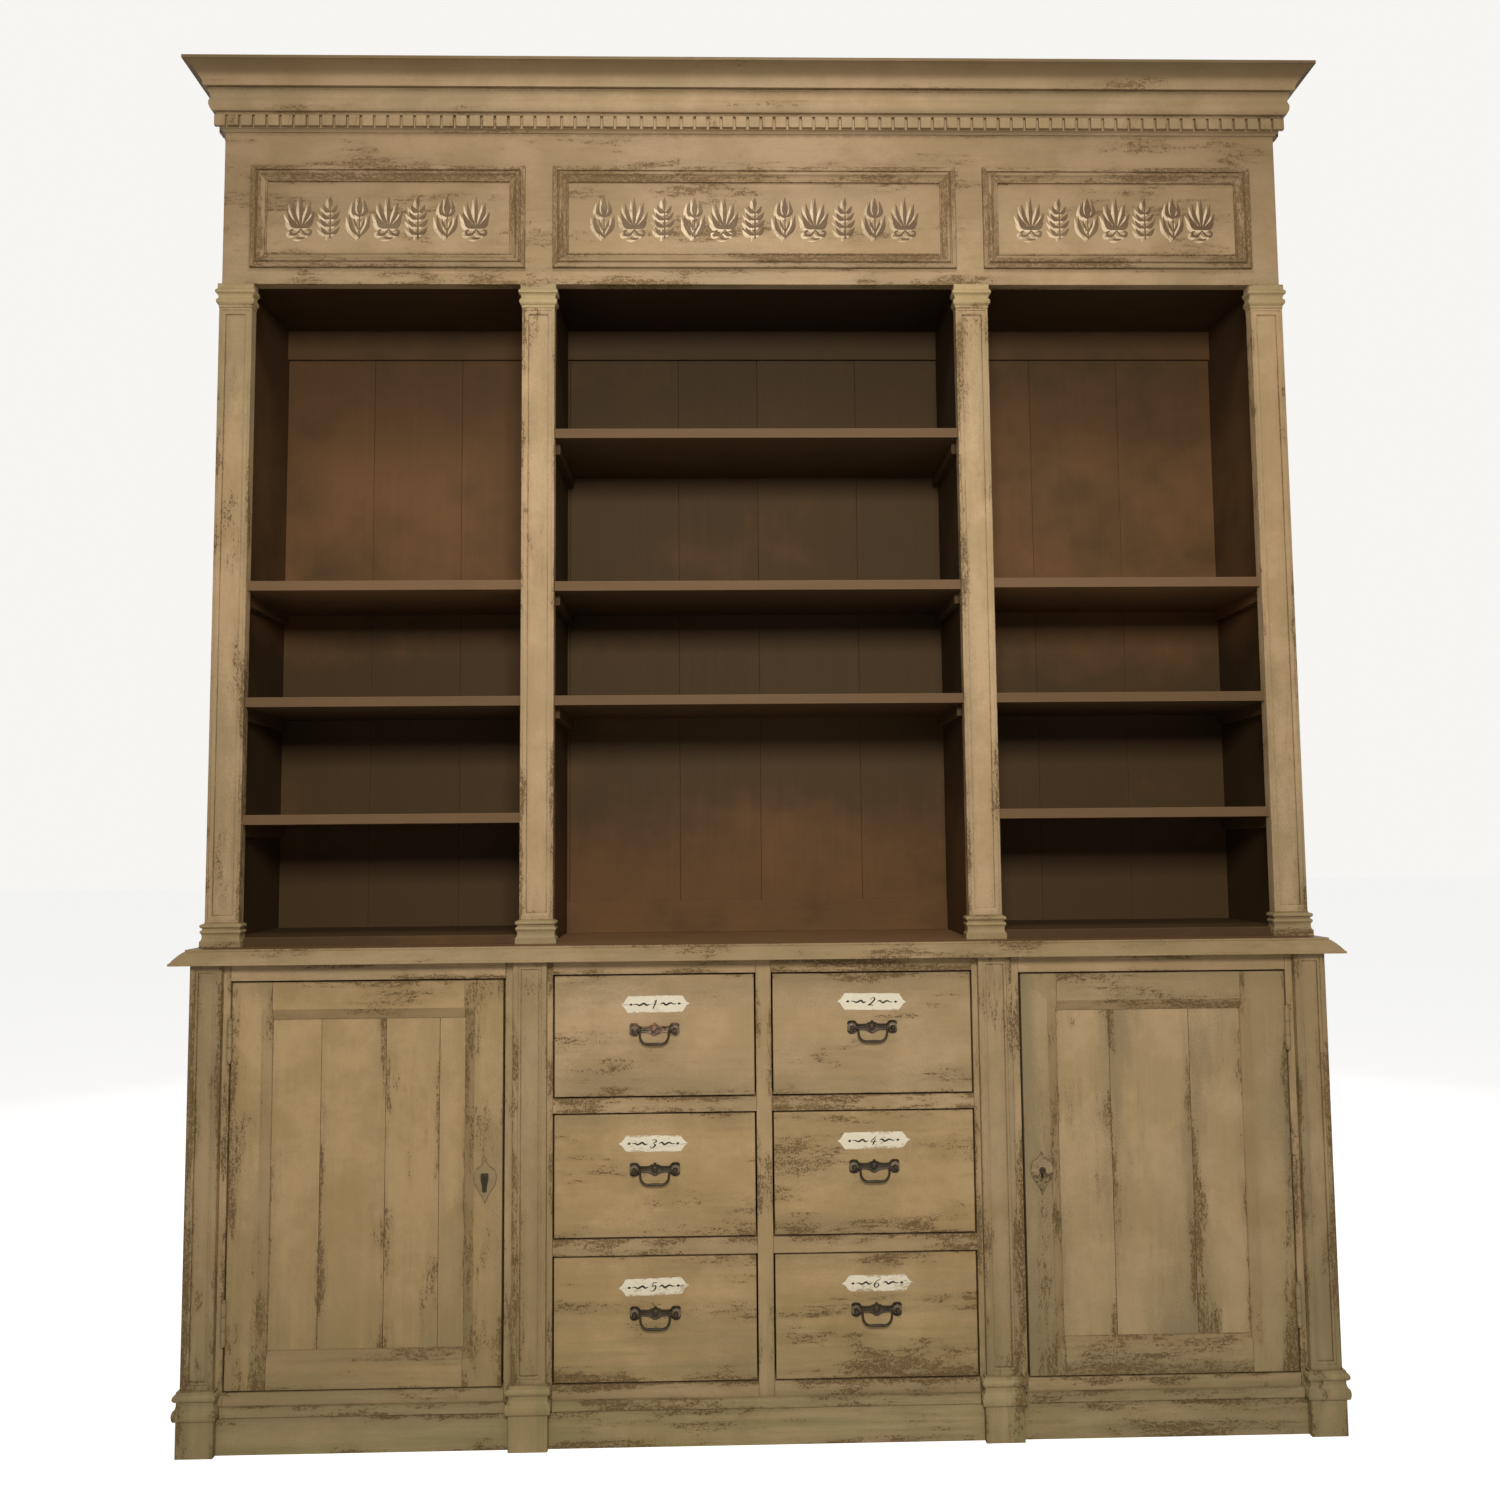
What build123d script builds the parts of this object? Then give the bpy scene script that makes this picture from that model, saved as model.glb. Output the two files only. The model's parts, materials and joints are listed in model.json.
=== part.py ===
from build123d import *
import os

# An apothecary cabinet: a base with two cupboards and six drawers under a moulded worktop, and
# an open shelved upper case in three bays under a frieze with three framed fields and a cornice
# with dentils.  Millimetres, +Z up, front towards -Y, origin on the floor under the middle.

# ---------------------------------------------------------------- driving dimensions
BACK_Y = 184.0                  # rear of the whole cabinet
BASE_Y = -151.0                 # front face of the base's face frame
UPPER_Y = -106.0                # front face of the frieze and the upper pilasters
BASE_HALF = 1055.0              # half width of the base
UPPER_HALF = 1050.0             # half width of the upper case
WORKTOP_Z = 873.0               # underside of the worktop
DECK_Z = 901.0                  # top of the worktop
BAY_TOP_Z = 2194.0              # lower edge of the frieze
CORNICE_Z = 2504.0              # lower edge of the cornice
CROWN_Z = 2582.0                # lower edge of its crown
CEILING_Z = 2212.0              # underside of the board over the bays
DUST_Z = 2604.0                 # underside of the dust board
TOP_Z = 2625.0                  # top of the cornice

KERF = 0.2                      # open joint between pieces that meet edge to edge
BACK_BOARD = 15.0               # thickness of the back boards
BACK_FACE_Y = BACK_Y - BACK_BOARD
BOARD_SEAMS = (-1014, -826, -636, -400, -164, 9, 225, 418, 612, 806, 1014)

# base: face frame, doors and drawers
FRAME_T = 24.0                  # face frame and doors
INNER_Y = BASE_Y + FRAME_T      # where the carcass boards start behind the face frame
GAP = 3.0                       # daylight round a drawer front and a door's top, foot and hinge side
LOCK_GAP = 4.0                  # daylight at a door's lock side
DOOR_IN_X = 482.8               # lock edge of a door
DOOR_OUT_X = 981.5              # hinge edge of a door
DOOR_Z = (109.5, 838.6)
LEFT_STILES = (71.0, 73.9)      # lock stile and hinge stile
RIGHT_STILES = (67.5, 84.0)
LEFT_SEAMS = (47.0, 146.0, 265.0)   # plank seams from the opening's lock side
RIGHT_SEAMS = (99.0, 250.0)
PANEL_Y = (BASE_Y + 9, BASE_Y + 19)
PANEL_TONGUE = 8.0              # how deep the planks sit in the frame's groove
PANEL_SLACK = 0.5
PANEL_Z = (DOOR_Z[0] + 67.5, DOOR_Z[1] - 69.0)
DOOR_BEVEL = (19.0, 8.0)        # width and drop of the slope round a door's panel
DRAWER_IN_X = 17.4
DRAWER_OUT_X = 387.8
DRAWER_H = 221.0
ROW_Z = (622.8, 368.8, 112.2)   # feet of the drawer fronts, top row first
SIDE_T = 25.0                   # base sides
DIVIDER_T = 24.0                # partitions between cupboards and drawers
FLOOR_Z = 100.0                 # top of the base's floor board
FLOOR_T = 18.0
CUPBOARD_SHELF_Z = 450.0        # underside of the shelf in each cupboard
CUPBOARD_SHELF_SET_BACK = 60.0
PLINTH_Z = 66.0                 # top of the plinth boards and foot of the face frame
PLINTH_T = 5.0
PLINTH_STEP_Z = 63.0            # above here the plinth is cut back round the feet's mouldings
PLINTH_CAP = (18.0, 4.0)        # height above PLINTH_Z and reach of the strip over the plinth
FOOT_BLOCK = 4.5                # how far a plinth block stands out of its pilaster
FOOT_CLEAR = 11.0               # room beside a pilaster for its foot's mouldings
BACK_BOARD_BEVELS = (2.5, 0.8)  # on the base's and the upper case's back boards
RUNNER_W = 20.0
RUNNER_PLAY = (0.5, 0.4)        # under a runner's foot and over its top
SIDE_PLINTH_BACK = 1.0          # side skirtings start this far behind the face frame's front

# pilasters
BASE_PILASTER_X = 432.0
BASE_PILASTER_W = 62.0
BASE_PILASTER_T = 12.0
BASE_PILASTER_STEPS = ((9.5, 1.5), (14.5, 4.0))     # inset and depth of the sunk field's two steps
BASE_FOOT_TOP = 116.0
UPPER_PILASTER_X = 429.5
UPPER_PILASTER_END_X = 1022.0
UPPER_PILASTER_W = 64.0
UPPER_PILASTER_STEPS = ((4.5, 1.2), (12.5, 4.0))
POST_T = 22.0                   # depth of the upper pilasters and of the frieze board
CAPITAL_Z = 2146.0
SHAFT_Z = 947.0
PEDESTAL_FLARE = 7.0

# upper case
UPPER_SIDE_X = 1014.0           # inner face of the upper sides
UPPER_DIVIDER = (405.0, 435.0)  # faces of the boards between the bays
SIGN_Z = (2226.0, 2434.0)
SIGN_BORDER = 31.0
SIGN_STRETCHES = ((-995.0, -456.0), (-401.0, 401.0), (456.0, 995.0))
DENTIL_Z = (2510.0, 2532.0)
DENTIL_OUT = 16.5
DENTIL_GROUND = 9.0
DENTILS = 81                    # along the front
SHELF_T = 19.0
SHELF_Y = UPPER_Y + 6.0
SIDE_SHELF_TOPS = (1603.0, 1376.0, 1150.0)
MIDDLE_SHELF_TOPS = (1904.0, 1600.0, 1376.0)
CLEAT = (14.0, 22.0)            # width and height of the strips under the shelves
CLEAT_Y = (UPPER_Y + 40, BACK_FACE_Y - 10)
BACK_RAIL = (8.0, 64.0, 66.0)   # thickness, height of the top rails and of the middle bay's foot rail
BAY_FLOOR_TOP = 918.0

# drawer boxes and their pulls
DRAWER_FRONT_T = 22.0
DRAWER_SIDE_T = 12.0
DRAWER_DEPTH = 300.0            # front face to rear of the box
DRAWER_SIDE_H = 190.0
DRAWER_BOTTOM = (9.0, 17.0)     # heights of the bottom board's faces above the box's foot
DRAWER_BACK = (18.0, 10.0)      # the back's foot above the box's foot, and its top below the sides'
POST_R = 5.5
POST_L = 13.0
PLATE_T = 2.0                   # backplates and escutcheons
WIRE_R = 2.4                    # the bail's rod
PULL_RISE = 11.0                # backplate's centre above the front's middle
POST_SPACING = 76.0
PIVOT_OUT = 11.0                # bail's axis in front of the drawer front
PINTLE_R = 2.0
PINTLE_BORE_R = 2.05

# hinges and locks
HINGE_X = 983.0
HINGE_OUT = 4.8                 # pin's axis in front of the door's face
HINGE_H = 74.0
HINGE_FEET = (193.0, 697.0)
PIN_R = 2.2
KNUCKLE_BORE_R = 2.25
KNUCKLE_R = 4.5
LEAF_T = 1.3
LOCK_CASE = (62.0, 66.0, 14.0)  # width, height and depth
BOLT = (40.0, 12.0, 6.0)        # length, height and thickness
BOLT_PLAY = 0.4
LOCK_Z = 473.0
LOCK_X = 514.0

HUGE = 3000.0                   # longer than anything here


# ---------------------------------------------------------------- helpers
def board(x, y, z, mode=Mode.ADD):
    """Rectangular board between two faces along each axis, in the current part."""
    with Locations(((x[0] + x[1]) / 2, (y[0] + y[1]) / 2, (z[0] + z[1]) / 2)):
        Box(x[1] - x[0], y[1] - y[0], z[1] - z[0], mode=mode)


def rod(x, y, z, radius, mode=Mode.ADD):
    """Upright round rod between two heights, in the current part."""
    with Locations((x, y, (z[0] + z[1]) / 2)):
        Cylinder(radius, z[1] - z[0], mode=mode)


def both_sides(x):
    """The stretch x on the right and the same stretch on the left."""
    return (x, (-x[1], -x[0]))


def moulded_block(edge, centre_x, half_width, front_y, back_y):
    """Block whose front and both ends follow one moulding, mitred at its front corners.

    edge(at) draws the moulding's outline from bottom to top, each point through at(p, z), where
    p is how far it stands out of the block's faces; it returns the lowest and highest z.
    """
    side_plane = Plane(origin=(centre_x, 0, 0), x_dir=(1, 0, 0), z_dir=(0, -1, 0))
    with BuildPart() as block:
        with BuildSketch(side_plane):
            with BuildLine():
                z0, z1 = edge(lambda p, z: (half_width + p, z))
                Polyline((half_width, z0), (0, z0), (0, z1), (half_width, z1))
            make_face()
            mirror(about=Plane.YZ)
        extrude(amount=HUGE, both=True)
        with BuildSketch(Plane.YZ):
            with BuildLine():
                edge(lambda p, z: (front_y - p, z))
                Polyline((front_y, z0), (back_y, z0), (back_y, z1), (front_y, z1))
            make_face()
        extrude(amount=HUGE, both=True, mode=Mode.INTERSECT)
    return block.part


def framed_ring(x, z, border, face_y, depth, bevel, drop):
    """Rectangular frame in the XZ plane with its face at face_y and a bevelled inner edge."""
    with BuildPart() as ring:
        board(x, (face_y, face_y + depth), z)
        hole_x = (x[0] + border[0], x[1] - border[1])
        hole_z = (z[0] + border[2], z[1] - border[3])
        board(hole_x, (face_y - 1, face_y + depth + 1), hole_z, mode=Mode.SUBTRACT)
        front = ring.faces().sort_by(Axis.Y)[0]
        chamfer(front.inner_wires()[0].edges(), length=bevel, length2=drop, reference=front)
    return ring.part


# ---------------------------------------------------------------- base carcass
with BuildPart() as base_sides:
    for x in both_sides((BASE_HALF - SIDE_T, BASE_HALF)):
        board(x, (INNER_Y, BACK_Y), (0, WORKTOP_Z))

with BuildPart() as base_dividers:
    divider_x = (DRAWER_OUT_X + GAP, DRAWER_OUT_X + GAP + DIVIDER_T)
    for x in both_sides(divider_x):
        board(x, (INNER_Y, BACK_FACE_Y), (FLOOR_Z, WORKTOP_Z))
    muntin_half = DRAWER_IN_X - GAP
    board((-muntin_half, muntin_half), (INNER_Y, BACK_FACE_Y), (FLOOR_Z, WORKTOP_Z))

side_inner_x = BASE_HALF - SIDE_T
cupboard_x = (divider_x[1], side_inner_x)
with BuildPart() as base_boards:
    board((-side_inner_x, side_inner_x), (INNER_Y, BACK_FACE_Y), (FLOOR_Z - FLOOR_T, FLOOR_Z))
    for x in both_sides(cupboard_x):
        shelf_y = (INNER_Y + CUPBOARD_SHELF_SET_BACK, BACK_FACE_Y)
        board(x, shelf_y, (CUPBOARD_SHELF_Z, CUPBOARD_SHELF_Z + FLOOR_T))

with BuildPart() as base_back_boards:
    ends = (-side_inner_x,) + BOARD_SEAMS[1:-1] + (side_inner_x,)
    for left, right in zip(ends, ends[1:]):
        board((left + KERF, right - KERF), (BACK_FACE_Y, BACK_Y), (FLOOR_Z - FLOOR_T, WORKTOP_Z))
    front_edges = base_back_boards.edges().filter_by(Axis.Z).group_by(Axis.Y)[0]
    chamfer(front_edges, length=BACK_BOARD_BEVELS[0])

stile_out_x = DOOR_OUT_X + GAP
post_x = (DRAWER_OUT_X + GAP, DOOR_IN_X - LOCK_GAP)
with BuildPart() as base_face_frame:
    board((-BASE_HALF, BASE_HALF), (BASE_Y, INNER_Y), (PLINTH_Z, WORKTOP_Z))
    for x in both_sides((post_x[1], stile_out_x)):
        door_z = (DOOR_Z[0] - GAP, DOOR_Z[1] + GAP)
        board(x, (BASE_Y - 1, INNER_Y + 1), door_z, mode=Mode.SUBTRACT)
    for x in both_sides((muntin_half, post_x[0])):
        for foot in ROW_Z:
            row = (foot - GAP, foot + DRAWER_H + GAP)
            board(x, (BASE_Y - 1, INNER_Y + 1), row, mode=Mode.SUBTRACT)
    for edge_x in (muntin_half, post_x[0], post_x[1], stile_out_x):
        for x in both_sides((edge_x - KERF / 2, edge_x + KERF / 2)):
            board(x, (BASE_Y - 1, INNER_Y + 1), (0, WORKTOP_Z + 1), mode=Mode.SUBTRACT)

with BuildPart() as drawer_runners:
    runner_feet = [foot + DRAWER_H + GAP for foot in ROW_Z[1:]] + [FLOOR_Z]
    for run_x in ((muntin_half, muntin_half + RUNNER_W), (post_x[0] - RUNNER_W, post_x[0])):
        for x in both_sides(run_x):
            for foot, row in zip(runner_feet, ROW_Z):
                board(x, (INNER_Y, BACK_FACE_Y), (foot + RUNNER_PLAY[0], row - RUNNER_PLAY[1]))
            board(x, (INNER_Y, BACK_FACE_Y), (ROW_Z[0] + DRAWER_H + GAP, WORKTOP_Z))


# ---------------------------------------------------------------- base pilasters, plinth, worktop
end_pilaster_x = BASE_HALF - BASE_PILASTER_W / 2 + 2
base_pilaster_centres = (-end_pilaster_x, -BASE_PILASTER_X, BASE_PILASTER_X, end_pilaster_x)
base_pilaster_widths = (BASE_PILASTER_W - 4, BASE_PILASTER_W, BASE_PILASTER_W, BASE_PILASTER_W - 4)

with BuildPart() as base_pilasters:
    for centre, width in zip(base_pilaster_centres, base_pilaster_widths):
        half = width / 2
        pilaster_z = (BASE_FOOT_TOP, WORKTOP_Z)
        front_y = BASE_Y - BASE_PILASTER_T
        board((centre - half, centre + half), (front_y, BASE_Y), pilaster_z)
        for inset, depth in BASE_PILASTER_STEPS:
            field_x = (centre - half + inset, centre + half - inset)
            field_z = (pilaster_z[0] + inset, pilaster_z[1] - inset)
            board(field_x, (front_y, front_y + depth), field_z, mode=Mode.SUBTRACT)


def foot_edge(at):
    """Plinth block, ovolo, hollow neck and torus of a base pilaster's foot."""
    Polyline(at(0, 0), at(FOOT_BLOCK, 0), at(FOOT_BLOCK, 64), at(8, 65.5), at(9, 67))
    ThreePointArc(at(9, 67), at(10.5, 76), at(9, 84))
    Line(at(9, 84), at(7.5, 84.5))
    ThreePointArc(at(7.5, 84.5), at(5.2, 89), at(4.4, 95))
    Line(at(4.4, 95), at(4.4, 98))
    ThreePointArc(at(4.4, 98), at(10, 105.5), at(4.6, 113))
    Polyline(at(4.6, 113), at(4.6, BASE_FOOT_TOP), at(0, BASE_FOOT_TOP))
    return 0, BASE_FOOT_TOP


feet = [
    moulded_block(foot_edge, centre, width / 2, BASE_Y - BASE_PILASTER_T, BASE_Y)
    for centre, width in zip(base_pilaster_centres, base_pilaster_widths)
]
with BuildPart() as pilaster_feet:
    add(feet)

plinth_stretches = [
    (left + base_pilaster_widths[i] / 2, right - base_pilaster_widths[i + 1] / 2)
    for i, (left, right) in enumerate(zip(base_pilaster_centres, base_pilaster_centres[1:]))
]
block_clear = FOOT_BLOCK + KERF
plinth_y = (BASE_Y - PLINTH_T, BASE_Y)
with BuildPart() as plinth:
    for left, right in plinth_stretches:
        upper_x = (left + FOOT_CLEAR, right - FOOT_CLEAR)
        board((left + block_clear, right - block_clear), plinth_y, (0, PLINTH_STEP_Z))
        board(upper_x, plinth_y, (PLINTH_STEP_Z, PLINTH_Z))
        cap_y = (plinth_y[0] - PLINTH_CAP[1], BASE_Y)
        board(upper_x, cap_y, (PLINTH_Z + KERF, PLINTH_Z + PLINTH_CAP[0]))
    for x in both_sides((BASE_HALF, BASE_HALF + PLINTH_T)):
        board(x, (BASE_Y + SIDE_PLINTH_BACK, BACK_Y), (0, PLINTH_Z))
    board((-side_inner_x, side_inner_x), (BASE_Y + KERF, INNER_Y), (0, PLINTH_Z))


def worktop_edge(at):
    """Fillet and flat ovolo of the worktop's edge."""
    Polyline(at(0, WORKTOP_Z), at(33, WORKTOP_Z), at(33, WORKTOP_Z + 4), at(31, WORKTOP_Z + 5))
    ThreePointArc(at(31, WORKTOP_Z + 5), at(23, WORKTOP_Z + 15), at(13, WORKTOP_Z + 24))
    Polyline(at(13, WORKTOP_Z + 24), at(11, WORKTOP_Z + 24), at(11, DECK_Z), at(0, DECK_Z))
    return WORKTOP_Z, DECK_Z


with BuildPart() as worktop:
    add(moulded_block(worktop_edge, 0, BASE_HALF, BASE_Y, BACK_Y))


# ---------------------------------------------------------------- doors, hinges and locks
panel_foot = PANEL_Z[0] - PANEL_TONGUE
panel_head = PANEL_Z[1] + PANEL_TONGUE


def cut_keyhole():
    """Sketch of the keyhole, in the current sketch on a plane along the door's face."""
    with Locations((LOCK_X, LOCK_Z + 5)):
        Circle(4)
    with Locations((LOCK_X, LOCK_Z - 3)):
        Rectangle(4.4, 16)


def make_door_frame(lock_stile, hinge_stile):
    """Stiles and rails of a door on the right, with a bevelled inner edge, a groove and a keyhole."""
    opening = (DOOR_IN_X + lock_stile, DOOR_OUT_X - hinge_stile)
    borders = (lock_stile, hinge_stile, PANEL_Z[0] - DOOR_Z[0], DOOR_Z[1] - PANEL_Z[1])
    with BuildPart() as door:
        add(framed_ring((DOOR_IN_X, DOOR_OUT_X), DOOR_Z, borders, BASE_Y, FRAME_T, *DOOR_BEVEL))
        groove_x = (opening[0] - PANEL_TONGUE, opening[1] + PANEL_TONGUE)
        board(groove_x, PANEL_Y, (panel_foot, panel_head), mode=Mode.SUBTRACT)
        for edge_x in opening:
            kerf_x = (edge_x - KERF / 2, edge_x + KERF / 2)
            board(kerf_x, (BASE_Y - 1, INNER_Y + 1), (0, WORKTOP_Z), mode=Mode.SUBTRACT)
        with BuildSketch(Plane.XZ.offset(-BASE_Y)):
            cut_keyhole()
        extrude(amount=-FRAME_T, mode=Mode.SUBTRACT)
    return door.part


def make_door_panel(lock_stile, hinge_stile, seams):
    """Planks of a door on the right, with seams at distances from the opening's lock side."""
    opening = (DOOR_IN_X + lock_stile, DOOR_OUT_X - hinge_stile)
    reach = PANEL_TONGUE - PANEL_SLACK
    cuts = [opening[0] - reach] + [opening[0] + seam for seam in seams] + [opening[1] + reach]
    plank_y = (PANEL_Y[0], PANEL_Y[1] - PANEL_SLACK)
    with BuildPart() as panel:
        for left, right in zip(cuts, cuts[1:]):
            board((left + KERF, right - KERF), plank_y,
                  (panel_foot + PANEL_SLACK, panel_head - PANEL_SLACK))
    return panel.part


hinge_y = BASE_Y - HINGE_OUT
knuckle_h = (HINGE_H - 2 * 0.4) / 3
leaf_y = (BASE_Y + 0.2, BASE_Y + 20)


def hinge_half(leaf_x, knuckles):
    """Leaf and knuckles of one half of each hinge on the right, in the current part."""
    for foot in HINGE_FEET:
        board(leaf_x, leaf_y, (foot, foot + HINGE_H))
        for k in knuckles:
            z = foot + k * (knuckle_h + 0.4)
            board(leaf_x, (hinge_y, leaf_y[0]), (z, z + knuckle_h))
            rod(HINGE_X, hinge_y, (z, z + knuckle_h), KNUCKLE_R)
        rod(HINGE_X, hinge_y, (foot - 1, foot + HINGE_H + 1), KNUCKLE_BORE_R, mode=Mode.SUBTRACT)


with BuildPart() as right_door_hinges:
    hinge_half((DOOR_OUT_X, DOOR_OUT_X + LEAF_T), (1,))

with BuildPart() as frame_hinges:
    hinge_half((stile_out_x - LEAF_T, stile_out_x), (0, 2))
    for foot in HINGE_FEET:
        rod(HINGE_X, hinge_y, (foot - 4, foot + HINGE_H + 4), PIN_R)
        for tip_z in ((foot - 4, foot - KERF), (foot + HINGE_H + KERF, foot + HINGE_H + 4)):
            rod(HINGE_X, hinge_y, tip_z, 3.4)
    mirror(about=Plane.YZ)

lock_x = DOOR_IN_X + 1
lock_z = (LOCK_Z - LOCK_CASE[1] / 2, LOCK_Z + LOCK_CASE[1] / 2)
bolt_y = (INNER_Y + 3, INNER_Y + 3 + BOLT[2])
bolt_z = (LOCK_Z - 2 - BOLT[1], LOCK_Z - 2)
with BuildPart() as right_door_lock:
    board((lock_x, lock_x + LOCK_CASE[0]), (INNER_Y, INNER_Y + LOCK_CASE[2]), lock_z)
    channel_y = (bolt_y[0] - BOLT_PLAY, bolt_y[1] + BOLT_PLAY)
    channel_z = (bolt_z[0] - BOLT_PLAY, bolt_z[1] + BOLT_PLAY)
    board((DOOR_IN_X, lock_x + BOLT[0] + 1), channel_y, channel_z, mode=Mode.SUBTRACT)
    plate_plane = Plane.XZ.offset(-BASE_Y)
    with BuildSketch(plate_plane):
        with BuildLine():
            Polyline((LOCK_X, LOCK_Z + 39), (LOCK_X + 9, LOCK_Z + 27), (LOCK_X + 17, LOCK_Z + 22))
            Spline((LOCK_X + 17, LOCK_Z + 22), (LOCK_X + 21, LOCK_Z + 4), (LOCK_X + 11, LOCK_Z - 17))
            Polyline((LOCK_X + 11, LOCK_Z - 17), (LOCK_X + 4, LOCK_Z - 30), (LOCK_X, LOCK_Z - 39))
            mirror(about=Plane(origin=(LOCK_X, 0, 0), z_dir=(1, 0, 0)))
        make_face()
    extrude(amount=PLATE_T)
    with BuildSketch(plate_plane):
        cut_keyhole()
    extrude(amount=PLATE_T, mode=Mode.SUBTRACT)

with BuildPart() as right_lock_bolt:
    board((lock_x, lock_x + BOLT[0]), bolt_y, bolt_z)


# ---------------------------------------------------------------- drawers
def drawer_centre(column):
    """Middle of a drawer in the left (0) or right (1) column."""
    return (2 * column - 1) * (DRAWER_IN_X + DRAWER_OUT_X) / 2


drawer_w = DRAWER_OUT_X - DRAWER_IN_X


def make_drawer_front(cx, foot):
    """Plain front board with eased edges."""
    with BuildPart() as front:
        board((cx - drawer_w / 2, cx + drawer_w / 2), (BASE_Y, BASE_Y + DRAWER_FRONT_T),
              (foot, foot + DRAWER_H))
        chamfer(front.faces().sort_by(Axis.Y)[0].edges(), length=1.2)
    return front.part


def make_drawer_box(cx, foot):
    """Two sides, a back and a bottom board behind the front."""
    box_y = (BASE_Y + DRAWER_FRONT_T, BASE_Y + DRAWER_DEPTH)
    half = drawer_w / 2 - 0.3
    sides_z = (foot, foot + DRAWER_SIDE_H)
    with BuildPart() as box:
        for side in (-1, 1):
            xs = sorted((cx + side * half, cx + side * (half - DRAWER_SIDE_T)))
            board(xs, box_y, sides_z)
        inner = half - DRAWER_SIDE_T - KERF
        back_y = (box_y[1] - DRAWER_SIDE_T, box_y[1])
        board((cx - inner, cx + inner), back_y, (foot + DRAWER_BACK[0], sides_z[1] - DRAWER_BACK[1]))
        board((cx - inner, cx + inner), box_y, (foot + DRAWER_BOTTOM[0], foot + DRAWER_BOTTOM[1]))
    return box.part


def make_pull(cx, cz):
    """Bat-wing backplate with two posts that are bored for the bail's pintles."""
    with BuildPart() as pull:
        with BuildSketch(Plane.XZ.offset(-BASE_Y)):
            with BuildLine():
                Polyline((cx, cz + 12), (cx + 8, cz + 10.5), (cx + 11, cz + 6.5), (cx + 27, cz + 6))
                Spline((cx + 27, cz + 6), (cx + 31, cz + 11.5), (cx + 40, cz + 12), (cx + 46.5, cz + 5),
                       (cx + 46.5, cz - 5), (cx + 40, cz - 12), (cx + 31, cz - 11.5), (cx + 27, cz - 6))
                Polyline((cx + 27, cz - 6), (cx + 11, cz - 6.5), (cx + 8, cz - 10.5), (cx, cz - 12))
                mirror(about=Plane(origin=(cx, 0, 0), z_dir=(1, 0, 0)))
            make_face()
        extrude(amount=PLATE_T)
        for side in (-1, 1):
            boss_x = cx + side * POST_SPACING / 2
            with BuildSketch(Plane(origin=(boss_x, BASE_Y - PLATE_T, cz), z_dir=(0, -1, 0))):
                Circle(POST_R)
            extrude(amount=POST_L)
            with Locations((boss_x, BASE_Y - PLATE_T - POST_L, cz)):
                Sphere(POST_R)
            bore_x = cx + side * (POST_SPACING / 2 - 8)
            with BuildSketch(Plane(origin=(bore_x, BASE_Y - PIVOT_OUT, cz), z_dir=(side, 0, 0))):
                Circle(PINTLE_BORE_R)
            extrude(amount=8, mode=Mode.SUBTRACT)
    return pull.part


def make_bail(cx, cz):
    """Drop handle: an oval bow whose ends turn outwards into two pintles."""
    plane = Plane(origin=(cx, BASE_Y - PIVOT_OUT, cz), x_dir=(1, 0, 0), z_dir=(0, -1, 0))
    shoulder = POST_SPACING / 2 - 6.2
    pintle_end = POST_SPACING / 2 - 0.6
    bow = [(shoulder, 0), (27, 0), (24.5, -25), (-24.5, -25), (-27, 0), (-shoulder, 0)]
    with BuildPart() as bail:
        with BuildLine(plane) as path:
            FilletPolyline(*bow, radius=[2.4, 15, 15, 2.4])
        start = path.wires()[0]
        with BuildSketch(Plane(origin=start @ 0, z_dir=start % 0)):
            Circle(WIRE_R)
        sweep()
        for side in (-1, 1):
            root_x = cx + side * (shoulder - 1)
            with BuildSketch(Plane(origin=(root_x, BASE_Y - PIVOT_OUT, cz), z_dir=(side, 0, 0))):
                Circle(PINTLE_R)
            extrude(amount=pintle_end - shoulder + 1)
    return bail.part


drawer_parts = {}
for row, foot in enumerate(ROW_Z):
    for column in (0, 1):
        number = 2 * row + column + 1
        cx = drawer_centre(column)
        cz = foot + DRAWER_H / 2 + PULL_RISE
        drawer_parts[f"drawer_front_{number}"] = make_drawer_front(cx, foot)
        drawer_parts[f"drawer_box_{number}"] = make_drawer_box(cx, foot)
        drawer_parts[f"drawer_pull_{number}"] = make_pull(cx, cz)
        drawer_parts[f"drawer_bail_{number}"] = make_bail(cx, cz)


# ---------------------------------------------------------------- upper case
with BuildPart() as upper_sides:
    for x in both_sides((UPPER_SIDE_X, UPPER_HALF)):
        board(x, (UPPER_Y + POST_T, BACK_Y), (DECK_Z, DUST_Z))

with BuildPart() as upper_dividers:
    for x in both_sides(UPPER_DIVIDER):
        board(x, (UPPER_Y + POST_T, BACK_FACE_Y), (DECK_Z, CEILING_Z))

side_bay_x = (UPPER_DIVIDER[1], UPPER_SIDE_X)
middle_bay_x = (-UPPER_DIVIDER[0], UPPER_DIVIDER[0])
side_mouth_x = (UPPER_PILASTER_X + UPPER_PILASTER_W / 2, UPPER_PILASTER_END_X - UPPER_PILASTER_W / 2)
with BuildPart() as bay_floors:
    for x in both_sides(side_bay_x):
        board(x, (UPPER_Y + POST_T, BACK_FACE_Y), (DECK_Z, BAY_FLOOR_TOP))
    lip_x = (side_mouth_x[0] + PEDESTAL_FLARE + KERF, side_mouth_x[1] - PEDESTAL_FLARE - KERF)
    for x in both_sides(lip_x):
        board(x, (UPPER_Y + 4, UPPER_Y + POST_T), (DECK_Z, BAY_FLOOR_TOP))

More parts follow.
